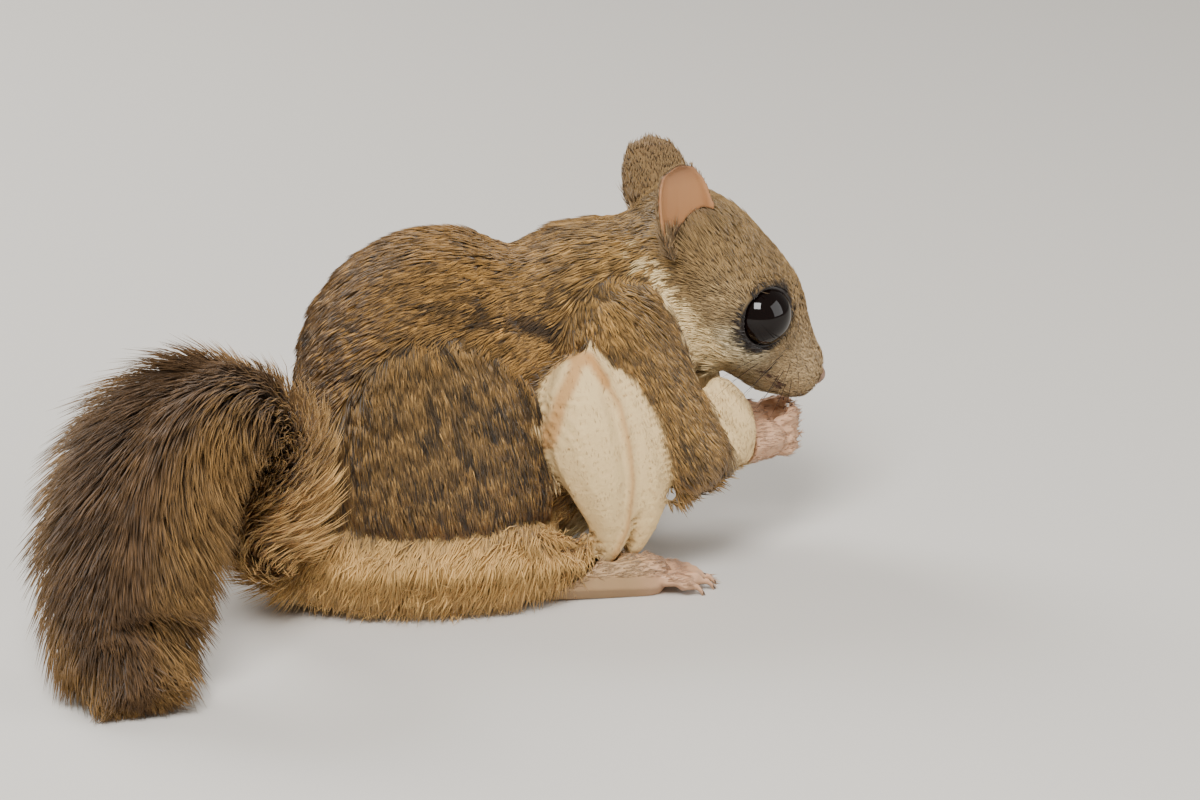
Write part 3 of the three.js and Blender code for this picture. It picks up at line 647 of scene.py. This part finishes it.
def blades(name, root, bend, tip, face, width, root_colour, tip_colour, uv, form=SHORT_TUFT):
    """Three-sided blades curved from root by bend to tip, in pieces of a limited count."""
    corners = 3 * len(form) + 1
    blade = [(0, 2, 1)]
    for level in range(0, corners - 4, 3):
        for j in range(3):
            a, b = level + j, level + (j + 1) % 3
            blade += [(a, b, b + 3), (a, b + 3, a + 3)]
    blade += [(corners - 4 + j, corners - 4 + (j + 1) % 3, corners - 1) for j in range(3)]
    on_patch = np.array([[0, 0], [1, 0], [0.5, 1]] * len(form) + [[0.5, 1]]) - [0.5, 0.5]
    lowest = [-1, -1, HOME[2] + TUFT_CLEARANCE]
    piece_tufts = PIECE_TRIANGLES // len(blade)
    for start in range(0, len(root), piece_tufts):
        part = slice(start, start + piece_tufts)
        p0, p1, p2 = (np.maximum(q[part], lowest) for q in (root, bend, tip))
        side = unit(np.cross(unit(p2 - p0), face[part]))
        top = np.cross(side, unit(p2 - p0))
        rings, shades = [], []
        for s, share in form:
            at = (1 - s) ** 2 * p0 + 2 * s * (1 - s) * p1 + s**2 * p2
            for angle in (-math.pi / 2, math.pi / 6, 5 * math.pi / 6):
                offset = side * math.cos(angle) + top * math.sin(angle) * TUFT_FLATNESS
                rings.append(at + offset * (width[part] * share / 2)[:, None])
                shades.append(mix(root_colour[part], tip_colour[part], above(s, 0.0, 0.75)))
        places = np.stack(rings + [p2], axis=1).reshape(-1, 3)
        colours = np.stack(shades + [tip_colour[part]], axis=1).reshape(-1, 3)
        faces = np.array(blade)[None] + (np.arange(len(p0)) * corners)[:, None, None]
        faces = faces.reshape(-1, 3)
        data = bpy.data.meshes.new(name)
        data.vertices.add(len(places))
        data.vertices.foreach_set("co", places.ravel())
        data.loops.add(faces.size)
        data.loops.foreach_set("vertex_index", faces.ravel())
        data.polygons.add(len(faces))
        data.polygons.foreach_set("loop_start", np.arange(len(faces)) * 3)
        data.polygons.foreach_set("use_smooth", np.ones(len(faces), bool))
        data.update(calc_edges=True)
        patch = (uv[part][:, None] + on_patch[None] * PATCH).reshape(-1, 2)
        layer = data.uv_layers.new(name="OFBake")
        layer.data.foreach_set("uv", patch[faces.ravel()].ravel())
        piece = bpy.data.objects.new(f"{name}_{start // piece_tufts + 1}", data)
        bpy.context.scene.collection.objects.link(piece)
        data.materials.append(fur_material)
        colour_points(piece, colours)
        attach(piece, "root")


def coat_density(p):
    """Tufts to a square millimetre."""
    r = regions(p)
    density = by_region(
        r, back=5.4, fringe=6.0, under=1.6, fold=1.2, limb=5.6, head=7.5, muzzle=11.0
    )
    eyes = [in_body(box.mean(axis=0)[None]) for box in eye_boxes.values()]
    off_eye = np.minimum(*(np.linalg.norm(p - eye, axis=1) for eye in eyes))
    off_nose = off_line(r["h"], [NOSE_AT, NOSE_FOOT])
    bare = (off_eye < EYE_CLEARING) | (off_nose < NOSE_CLEARING) | (r["tail"] > 0.7)
    return np.where(bare, 0, density)


def coat_lie(p, r):
    """The way that the coat lies at each place."""
    out = np.sign(p[:, 1])[:, None] * np.array([0.0, 1, 0])
    cheek = below(r["h"][:, 2], -8, 0)
    ways = dict(
        haunch=np.array([0.18, 0, -1]) + 0.1 * out,
        arm=np.array([0.5, 0, -0.95]),
        forearm_only=np.array([0.75, 0, -0.6]),
        fringe=np.array([-0.35, 0, -0.9]) + 0.35 * out,
        fold=np.array([0.1, 0, -1]),
        head=-head_x[None] + head_z * (0.3 - 0.9 * cheek)[:, None] + 0.25 * out,
    )
    lie = np.repeat(np.array([[-1.0, 0, -0.4]]), len(p), axis=0)
    for region, way in ways.items():
        lie = mix(lie, way, r[region][:, None])
    return unit(lie)


root, normal, uv = roots_on(skin, coat_density)
tufts = len(root)
p = in_body(root)
r = regions(p)
wander = rng.normal(0, 0.12, (tufts, 3)) * (1 + 1.4 * r["fringe"])[:, None]
lie = laid_on(coat_lie(p, r) + wander, normal)
length = by_region(
    r, back=4.8, haunch=5.2, arm=4.0, forearm_only=3.2, fringe=6.6, fold=1.1, head=2.9, ear_foot=4.4,
    muzzle=1.5,
)
over_fringe = r["haunch"] * below(p[:, 2], 17, 24)
length = length * (1 + 0.35 * over_fringe) * rng.uniform(0.72, 1.18, tufts) * MM
lift = by_region(r, back=0.28, head=0.2, muzzle=0.34, fold=0.05)
lift = lift + 0.16 * r["fringe"] + rng.normal(0, 0.03, tufts)
root = root - normal * (length * 0.03)[:, None]
bend = grown(root, lie, normal, length * 0.45, length * lift * 0.8)
tip = grown(root, lie, normal, length * 0.96, length * lift * 0.72)
drawn_in = by_region(r, back=0.4, head=0.2, fold=0.1)
tip, lock, locks = gathered(root, tip, TUFTS_IN_LOCK, drawn_in)
width = by_region(r, back=0.3, head=0.22, muzzle=0.14, fold=0.12)
width = width * rng.uniform(0.75, 1.2, tufts) * MM

# Locks differ in shade, and some are dark streaks, more of them on the haunch. The colour is read
# a little off the root, so that borders are soft, but not at the folds, whose edges are sharp.
shade = rng.normal(1, 0.14, locks)[lock] + rng.normal(0, 0.12, tufts)
streaked = rng.random(locks)[lock] < mix(0.17, 0.3, r["haunch"])
streaked &= rng.random(tufts) < 0.85
shade *= np.where(streaked, mix(0.58, 0.46, r["haunch"]), mix(1.05, 1.14, r["haunch"]))
shade *= 1 + 0.05 * np.sin(p @ [0.45, 0.2, 0.3]) + 0.05 * np.sin(p @ [-0.3, 0.25, 0.7] + 2)
stray = rng.normal(0, 1.1, (locks, 3))[lock] * (1 - 0.8 * r["head"])[:, None]
near_folds = below(off_side_line(p, PARTING_LINE), 10, 14) * above(np.abs(p[:, 1]), 9, 12)
stray *= 1 - near_folds[:, None]
coat = markings(p + stray)
pale = np.clip(above(coat[:, 0], 0.4, 0.7) + 0.6 * r["head"] + r["fold"], 0, 1)
shade = 1 + (shade - 1) * np.clip(1.35 - pale, 0.25, 1.35)
lit_streak = rng.random(locks)[lock] * rng.random(tufts) > 0.55
highlight = 1 + 0.55 * lit_streak * (1 - pale)
# Painted shade at the roots: each tuft darkens toward its root, least on pale parts and the folds.
shaded_root_colour = coat * mix(0.36, 0.86, pale)[:, None]
tip_colour = np.clip(coat * shade[:, None] * highlight[:, None], 0.002, 0.95)
blades("coat", root, bend, tip, normal, width, shaded_root_colour, tip_colour, uv)

# ---------------------------------------------------------------------------------------------
# Tail coat: long soft hair that stands out to both sides of the core, so that the tail is flat like
# a feather, brown along its upper face and buff at its root, over shorter down.
TAIL_GOLD = linear("#94703c")
TAIL_TUFTS = 27000
TAIL_REACH = 19.5  # middle of the tail to the tips of its side hair
TAIL_RISE = 8.5  # and to those of its upper and lower hair
TAIL_OVERHANG = 6.0  # hair past the end of the core
TUFTS_IN_TAIL_LOCK = 14
tail_run = np.linalg.norm(np.diff(tail_path, axis=0), axis=1).sum()
tail_bend = np.gradient(tail_onward, axis=0) / (tail_run / (TAIL_STEPS - 1))
t = rng.beta(1.08, 0.9, TAIL_TUFTS) * 0.97 + 0.02
angle = rng.random(TAIL_TUFTS) * 2 * math.pi
sideways = np.abs(np.cos(angle))
long = mix(10.0, 17.0, sideways) * rng.uniform(0.75, 1.05, TAIL_TUFTS)
reach = mix(TAIL_RISE, TAIL_REACH, sideways**1.3) * rng.uniform(0.78, 1.03, TAIL_TUFTS)


def on_tail(values, share):
    """A property of the tail's path at shares of its length."""
    return np.stack([np.interp(share, tail_t, values[:, k]) for k in range(3)], axis=1)


def tail_frame(share):
    """For each tuft: its place on the path, its way out from it, the fade and the narrowing."""
    past = np.minimum(np.maximum(share - 1, 0) * tail_run, TAIL_OVERHANG)
    across, top = on_tail(tail_across, share), on_tail(tail_top, share)
    out = unit(across * np.cos(angle)[:, None] + top * np.sin(angle)[:, None])
    at = on_tail(tail_path, share) + on_tail(tail_onward, share) * past[:, None]
    return at, out, np.interp(share, tail_t, tail_fade), np.maximum(1 - past / 24, 0.3)


# Hair on the inner side of a bend stands less far out, so that it doesn't cross the bend, and the
# tail's end is filled with tufts rooted at every height.
path, out, fade, _ = tail_frame(t)
tightness = np.maximum(np.sum(out * on_tail(tail_bend, t + 0.05), axis=1), 0.001)
reach = np.minimum(reach, 0.5 / tightness + 2.0)
turning = np.exp(-(((t - 0.3) / 0.12) ** 2))
long, reach = long * (1 - 0.35 * turning), reach * (1 - 0.15 * turning)
filling = np.where(t > 0.9, rng.uniform(0.1, 1.0, TAIL_TUFTS), 1.0)
reach = reach * filling
under = rng.random(TAIL_TUFTS) < 0.22 + 0.4 * turning
long = np.where(under, long * 0.5, long)
core = np.hypot(CORE_HALF_WIDTH * np.cos(angle), CORE_HALF_DEPTH * np.sin(angle))
core = core * fade * end_taper(t) * 0.85
reach = np.where(under, mix(core, reach, 0.4), reach)
root = path + out * (core * filling)[:, None]
at, out_there, fade, narrow = tail_frame(t + 0.45 * long / tail_run)
bend = at + out_there * (mix(core, reach * fade, 0.68) * narrow)[:, None]
at, out_there, fade, narrow = tail_frame(t + 0.88 * long / tail_run)
tip = at + out_there * (reach * fade * narrow)[:, None] + rng.normal(0, 0.5, (TAIL_TUFTS, 3))
tip, lock, locks = gathered(root, tip, TUFTS_IN_TAIL_LOCK, np.full(TAIL_TUFTS, 0.3))
shade = np.clip(rng.normal(1, 0.15, locks)[lock] + rng.normal(0, 0.15, TAIL_TUFTS), 0.5, 1.6)
coat = markings(path)
golden = above(sideways, 0.6, 1.0) * below(path[:, 0], -50, -43) * 0.75
ends = mix(coat, TAIL_GOLD, golden[:, None])

# Each tuft takes its place on the unwrap from the nearest corner of the skin.
skin_tree = KDTree(len(skin.data.vertices))
for i, place in enumerate(places_of(skin)):
    skin_tree.insert(place, i)
skin_tree.balance()
corner_uv = np.zeros((len(skin.data.vertices), 2))
loop_corners, loop_uv = np.empty(len(skin.data.loops), int), np.empty(len(skin.data.loops) * 2)
skin.data.loops.foreach_get("vertex_index", loop_corners)
skin.data.uv_layers["OFBake"].data.foreach_get("uv", loop_uv)
corner_uv[loop_corners] = loop_uv.reshape(-1, 2)
root, bend, tip = (HOME + places * MM for places in (root, bend, tip))
uv = corner_uv[[skin_tree.find(place)[1] for place in root]]
face = unit(on_tail(tail_top, t) * sideways[:, None] + out * (1 - sideways)[:, None])
width = rng.uniform(0.28, 0.42, TAIL_TUFTS) * MM
# The tufts' roots are a painted shade darker than their tips.
for name, part, form in (("tail_coat", ~under, LONG_TUFT), ("tail_down", under, SHORT_TUFT)):
    blades(
        name, root[part], bend[part], tip[part], face[part], width[part],
        coat[part] * 0.62, (ends * shade[:, None])[part], uv[part], form,
    )

# ---------------------------------------------------------------------------------------------
# Eyes: large wet balls, black to the rim, each set in a bare dark lid that closes round it and
# bulges from the head to the side and a little forward.
EYE_RADIUS = 5.6
EYE_FORWARD, EYE_OUTWARD, EYE_UP = 0.24, 0.95, 0.16  # the way that it looks, in the head's axes
LID_SPREAD = math.radians(70)
LID_THICK = 0.42

# A wet eye: very smooth, and as clear at its surface as water, so that it mirrors the light.
eye_material, tree = new_material("wet_eye")
shader = add_node(
    tree, "ShaderNodeBsdfPrincipled", Base_Color=(*linear("#0d0605"), 1), Roughness=0.03, IOR=1.34
)
add_node(tree, "ShaderNodeOutputMaterial", [(shader.outputs[0], "Surface")])
# Bare lid: dark naked skin, kept moist, with a soft gloss.
lid_material, tree = new_material("bare_lid")
shader = add_node(tree, "ShaderNodeBsdfPrincipled", Base_Color=(*linear("#170d09"), 1), Roughness=0.45)
add_node(tree, "ShaderNodeOutputMaterial", [(shader.outputs[0], "Surface")])

for side, sign in (("right", -1), ("left", 1)):
    middle = eye_boxes[side].mean(axis=0)
    bpy.ops.mesh.primitive_uv_sphere_add(
        segments=48, ring_count=32, radius=EYE_RADIUS * MM, location=middle
    )
    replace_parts(settle(bpy.context.object, "eyeball_" + side, eye_material), "eye_" + side)
    look = EYE_FORWARD * head_x + EYE_OUTWARD * sign * head_y + EYE_UP * head_z
    look = Vector(look).normalized()
    bpy.ops.mesh.primitive_torus_add(
        major_segments=64,
        minor_segments=12,
        major_radius=EYE_RADIUS * math.sin(LID_SPREAD) * MM,
        minor_radius=LID_THICK * MM,
        location=Vector(middle) + look * (EYE_RADIUS * math.cos(LID_SPREAD) * MM),
        rotation=look.to_track_quat("Z", "Y").to_euler(),
    )
    settle(bpy.context.object, "lid_" + side, lid_material)

# ---------------------------------------------------------------------------------------------
# Ears: thin upright cups of bare pinkish skin over gristle, open to the front and the side, with a
# darker edge and fine short hair behind, thicker at the foot.
EAR_PINK, EAR_EDGE, EAR_BACK = linear("#a06f45"), linear("#5f4029"), linear("#8c7049")
EAR_VOXEL = 0.3 * MM
EAR_TUFTS_PER_MM2 = 7.0
EAR_TUFT_WIDTH = 0.16 * MM

# Thin bare skin: soft, with a faint satin, and a little light comes through it.
bare_skin, tree = new_material("thin_ear_skin")
marks = add_node(tree, "ShaderNodeAttribute", attribute_name="Markings")
shader = add_node(
    tree,
    "ShaderNodeBsdfPrincipled",
    [(marks.outputs["Color"], "Base Color")],
    Roughness=0.55,
    Subsurface_Weight=0.12,
    Subsurface_Radius=(0.8 * MM, 0.4 * MM, 0.3 * MM),
)
add_node(tree, "ShaderNodeOutputMaterial", [(shader.outputs[0], "Surface")])

for side, sign in (("right", -1), ("left", 1)):
    ear = copies_of(["ear_" + side], "ear_skin_" + side)
    modified(ear, "REMESH", mode="VOXEL", voxel_size=EAR_VOXEL)
    modified(ear, "SMOOTH", factor=0.5, iterations=6)
    settle(ear, "ear_skin_" + side, bare_skin)
    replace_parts(ear, "ear_" + side)
    unwrap(ear)
    p = in_body(places_of(ear))
    foot_of_ear, top_of_ear = p[:, 2].min(), p[:, 2].max()
    height = (p[:, 2] - foot_of_ear) / (top_of_ear - foot_of_ear)
    opens = np.array([0.42, 0.9 * sign, 0.05])
    facing = normals_of(ear) @ opens
    edge = below(np.abs(facing - 0.1), 0.1, 0.42) * above(height, 0.35, 0.6)
    colours = np.repeat(EAR_BACK[None], len(p), axis=0)
    for colour, amount in (
        (EAR_PINK, above(facing, -0.15, 0.25)),
        (EAR_EDGE, 0.75 * edge),
        (EAR_EDGE, 0.5 * above(height, 0.72, 1.0)),
        # darker toward the foot: painted shade in the ear's hollow, and a blend into the brown fur
        (EAR_BACK * 0.6, below(height, 0.1, 0.34)),
    ):
        colours = mix(colours, colour, amount[:, None])
    colour_points(ear, colours)
    root, normal, uv = roots_on(ear, lambda q: np.full(len(q), EAR_TUFTS_PER_MM2))
    low = in_body(root)[:, 2] < foot_of_ear + 0.3 * (top_of_ear - foot_of_ear)
    behind_or_low = (normal @ opens < 0.0) | low
    root, normal, uv, low = (values[behind_or_low] for values in (root, normal, uv, low))
    lie = laid_on(unit(np.array([[-0.1, 0, 1.0]]) + rng.normal(0, 0.15, (len(root), 3))), normal)
    length = rng.uniform(1.1, 1.7, len(root)) * np.where(low, 2.0, 1.0) * MM
    bend = grown(root, lie, normal, length * 0.5, length * 0.14)
    tip = grown(root, lie, normal, length, length * 0.12)
    tone = EAR_BACK[None] * rng.uniform(0.7, 1.25, len(root))[:, None]
    width = np.full(len(root), EAR_TUFT_WIDTH)
    # The hairs' roots are a painted shade darker than their tips.
    blades("ear_coat_" + side, root, bend, tip, normal, width, tone * 0.7, tone, uv)

# ---------------------------------------------------------------------------------------------
# Hands and feet: bare pinkish skin over the solids' fingers and toes, with fine short hair on the
# backs of the feet and hands, laid toward the digits.
PAW_SKIN, FOOT_TAN = linear("#c49a78"), linear("#a3855d")
PAW_VOXEL = 0.26 * MM
PAW_TUFTS_PER_MM2 = 5.5
PAW_TUFT_WIDTH = 0.17 * MM
TOES_START, HANDS_START = 31, 36  # along the body
paws = copies_of([f"{part}_{side}" for part in ("hand", "foot") for side in ("right", "left")], "paws")
edited(paws, bpy.ops.transform.shrink_fatten, value=SWELL)
modified(paws, "REMESH", mode="VOXEL", voxel_size=PAW_VOXEL)
modified(paws, "SMOOTH", factor=0.5, iterations=5)
places = places_of(paws)
places[:, 2] = np.maximum(places[:, 2], HOME[2])
put_places(paws, places)
settle(paws, "paws", bare_skin)
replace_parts(paws, "hand_right", "hand_left", "foot_right", "foot_left")
unwrap(paws)


def paw_colour(p):
    return mix(PAW_SKIN, FOOT_TAN, (below(p[:, 0], 20, 29) * 0.8)[:, None])


p = in_body(places_of(paws))
lit_above = mix(0.8, 1.05, above(normals_of(paws)[:, 2], -0.6, 0.7))
colour_points(paws, paw_colour(p) * lit_above[:, None])
root, normal, uv = roots_on(paws, lambda q: np.full(len(q), PAW_TUFTS_PER_MM2))
x = in_body(root)[:, 0]
foot = x < HANDS_START
haired = np.where(foot, normal[:, 2] > 0.05, rng.random(len(x)) < 0.5) & ~(foot & (x > TOES_START))
root, normal, uv = root[haired], normal[haired], uv[haired]
p = in_body(root)
lie = laid_on(np.array([[1.0, 0, 0.05]]) + rng.normal(0, 0.15, (len(p), 3)), normal)
length = rng.uniform(1.2, 1.9, len(p)) * MM
tone = paw_colour(p) * rng.uniform(0.75, 1.2, len(p))[:, None]
root = root - normal * 0.1 * MM
bend = grown(root, lie, normal, length * 0.5, length * 0.16)
tip = grown(root, lie, normal, length, length * 0.14)
width = np.full(len(p), PAW_TUFT_WIDTH)
# The hairs' roots are a painted shade darker than their tips.
blades("paw_coat", root, bend, tip, normal, width, tone * 0.7, tone, uv)

# ---------------------------------------------------------------------------------------------
# Claws: a hooked claw of horn at the end of each finger and toe, four to a hand and five to a foot.
# Each is a tapering tube, bent down and let into the end of its digit.
FINGERS, TOES = 4, 5
FOOT_LENGTH = 33
CLAW_RINGS, CLAW_SIDES = 9, 8
CLAW_HALF_WIDTH = 0.5

# Horn: dark, hard and smooth, with a dull gloss.
claw_material, tree = new_material("horn")
shader = add_node(tree, "ShaderNodeBsdfPrincipled", Base_Color=(*linear("#5b4636"), 1), Roughness=0.35)
add_node(tree, "ShaderNodeOutputMaterial", [(shader.outputs[0], "Surface")])

digits = []  # last joint, tip, radius and claw length, on the right side
for k in range(FINGERS):
    spread = -1 + 2 * k / (FINGERS - 1)
    joint, end = [55.6, -4.2, 21.2 + spread * 3.2], [56.4, -1.4, 22.2 + spread * 2.8]
    digits.append((joint, end, 1.0, 1.5))
for k in range(TOES):
    spread = -1 + 2 * k / (TOES - 1)
    toe = FOOT_LENGTH * 0.33 * (1 - 0.3 * spread**2)
    joint = [24.96 + toe * 0.62, -19.5 - spread * 3.6, 2.9]
    digits.append((joint, [24.96 + toe, -19.5 - spread * 4.4, 1.25], 1.3, 2.0))
places, faces = [], []
for joint, end, radius, claw_length in digits:
    for sign in (1, -1):
        a, b = np.array(joint) * [1, sign, 1], np.array(end) * [1, sign, 1]
        way = (b - a) / np.linalg.norm(b - a)
        base = b - way * radius * 0.9 + [0, 0, radius * 0.25]
        hook = base + way * claw_length * 0.9 + [0, 0, radius * 0.15]
        point = base + way * claw_length * 1.5 - [0, 0, claw_length * 0.5]
        point[2] = max(point[2], 0.15)
        across = np.cross(way, [0, 0, 1])
        across /= np.linalg.norm(across)
        rise = np.cross(across, way)
        faces += tube_faces(CLAW_RINGS, CLAW_SIDES, len(places))
        for s in np.linspace(0, 1, CLAW_RINGS):
            at = (1 - s) ** 2 * base + 2 * s * (1 - s) * hook + s**2 * point
            thick = CLAW_HALF_WIDTH * math.sqrt(1 - s) + 0.03
            for u in np.arange(CLAW_SIDES) * math.pi / 4:
                offset = 0.75 * across * math.cos(u) + rise * math.sin(u)
                places.append(HOME + MM * (at + thick * offset))
settle(mesh_of("claws", places, faces), "claws", claw_material)

# ---------------------------------------------------------------------------------------------
# Nose: a bare moist pad of naked skin at the end of the muzzle, with a groove down its middle and a
# nostril to each side, both darkened with painted shade.
NOSE_HALF_SIZES = [1.6, 2.4, 1.8]
NOSE_PINK, NOSTRIL_SHADE, GROOVE_SHADE = linear("#8d6c58"), linear("#120806"), linear("#4a3026")

# Moist skin: smooth enough for a small soft highlight.
nose_material, tree = new_material("moist_nose")
marks = add_node(tree, "ShaderNodeAttribute", attribute_name="Markings")
shader = add_node(
    tree, "ShaderNodeBsdfPrincipled", [(marks.outputs["Color"], "Base Color")], Roughness=0.38
)
add_node(tree, "ShaderNodeOutputMaterial", [(shader.outputs[0], "Surface")])

bpy.ops.mesh.primitive_uv_sphere_add(segments=64, ring_count=48, radius=1)
nose = bpy.context.object
q = places_of(nose)
groove = np.exp(-((q[:, 1] / 0.1) ** 2)) * above(q[:, 0], -0.1, 0.4)
off_nostril = (q - [0.66, 0, -0.1]) * [0.8, 0, 1.5] + (np.abs(q[:, 1:2]) - 0.62) * [0, 1.1, 0]
nostril = below(np.linalg.norm(off_nostril, axis=1), 0.2, 0.42)
shaped = q * NOSE_HALF_SIZES * (1 - 0.16 * groove - 0.3 * nostril)[:, None]
shaped += (NOSE_AT - np.array([0, 0, 0.1])) + [0.25, 0, 0]
put_places(nose, HOME + MM * (HEAD_AT + shaped @ np.stack([head_x, head_y, head_z])))
settle(nose, "nose_pad", nose_material)
# The nostrils and the groove are darkened with painted shade.
colours = mix(NOSE_PINK, NOSTRIL_SHADE, nostril[:, None])
colour_points(nose, mix(colours, GROOVE_SHADE, 0.6 * groove[:, None]))

# ---------------------------------------------------------------------------------------------
# Whiskers: stiff dark hairs in rows on the pad beside the nose, swept back and down and longer
# toward the cheek. Each is a thin tapering tube, rooted in the muzzle.
WHISKER_ROWS, WHISKERS_IN_ROW = 4, 4
WHISKER_RINGS, WHISKER_SIDES = 9, 4
ROOT_RADIUS, TIP_RADIUS = 0.075, 0.012

# Whisker: hard smooth hair, dark, with a thin line of light along it.
whisker_material, tree = new_material("whisker")
shader = add_node(tree, "ShaderNodeBsdfPrincipled", Base_Color=(*linear("#1d120b"), 1), Roughness=0.4)
add_node(tree, "ShaderNodeOutputMaterial", [(shader.outputs[0], "Surface")])

places, faces = [], []
for sign in (-1, 1):
    for row in range(WHISKER_ROWS):
        for k in range(WHISKERS_IN_ROW):
            ahead, aside, up = 24.5 - 2.1 * k, sign * (4.4 + 0.55 * k), -2.8 - 1.35 * row
            start = HEAD_AT + ahead * head_x + aside * head_y + up * head_z
            reach = rng.uniform(9, 12) + 2.6 * k
            way = -head_x * (0.1 + 0.22 * k) + sign * head_y - head_z * (0.05 + 0.22 * row)
            way /= np.linalg.norm(way)
            sag = np.array([-0.25, 0, -0.3]) + rng.normal(0, 0.05, 3)
            faces += tube_faces(WHISKER_RINGS, WHISKER_SIDES, len(places))
            for s in np.linspace(0, 1, WHISKER_RINGS):
                middle = start + way * reach * s + sag * reach * s**2 * 0.6
                radius = ROOT_RADIUS * (1 - s) + TIP_RADIUS
                for a in np.arange(WHISKER_SIDES) * math.pi / 2:
                    offset = head_z * math.cos(a) + np.cross(way, head_z) * math.sin(a)
                    places.append(HOME + (middle + radius * offset) * MM)
settle(mesh_of("whiskers", places, faces), "whiskers", whisker_material)

# ---------------------------------------------------------------------------------------------
# Floor and light: a plain pale floor, one large soft light from the camera's left, one fill and
# one behind. None of it belongs to the object.
FLOOR_SIZE = 6
LIGHTS = [  # name, place, size and power
    ("key", (-0.22, -0.5, 0.66), 0.34, 10.5),
    ("fill", (0.6, -0.35, 0.3), 0.5, 3.0),
    ("rim", (-0.3, 0.5, 0.5), 0.4, 5.0),
]
LIT_POINT = Vector((0, 0, 0.03))
WORLD_STRENGTH = 0.36

# Studio paper: pale and quite matt.
floor_material, tree = new_material("pale_floor")
shader = add_node(tree, "ShaderNodeBsdfPrincipled", Base_Color=(*linear("#cfcac2"), 1), Roughness=0.9)
add_node(tree, "ShaderNodeOutputMaterial", [(shader.outputs[0], "Surface")])
bpy.ops.mesh.primitive_plane_add(size=FLOOR_SIZE, location=(0, 0, 0))
floor_plane = bpy.context.object
floor_plane.name = "floor"
floor_plane.data.materials.append(floor_material)

for name, at, size, power in LIGHTS:
    bpy.ops.object.light_add(type="AREA", location=at)
    light = bpy.context.object
    light.name = name
    light.data.size = size
    light.data.energy = power
    light.rotation_euler = (LIT_POINT - Vector(at)).to_track_quat("-Z", "Y").to_euler()
scene = bpy.context.scene
scene.world = scene.world or bpy.data.worlds.new("studio")
scene.world.use_nodes = True
background = scene.world.node_tree.nodes["Background"]
background.inputs["Color"].default_value = (*linear("#e8e4dd"), 1)
background.inputs["Strength"].default_value = WORLD_STRENGTH
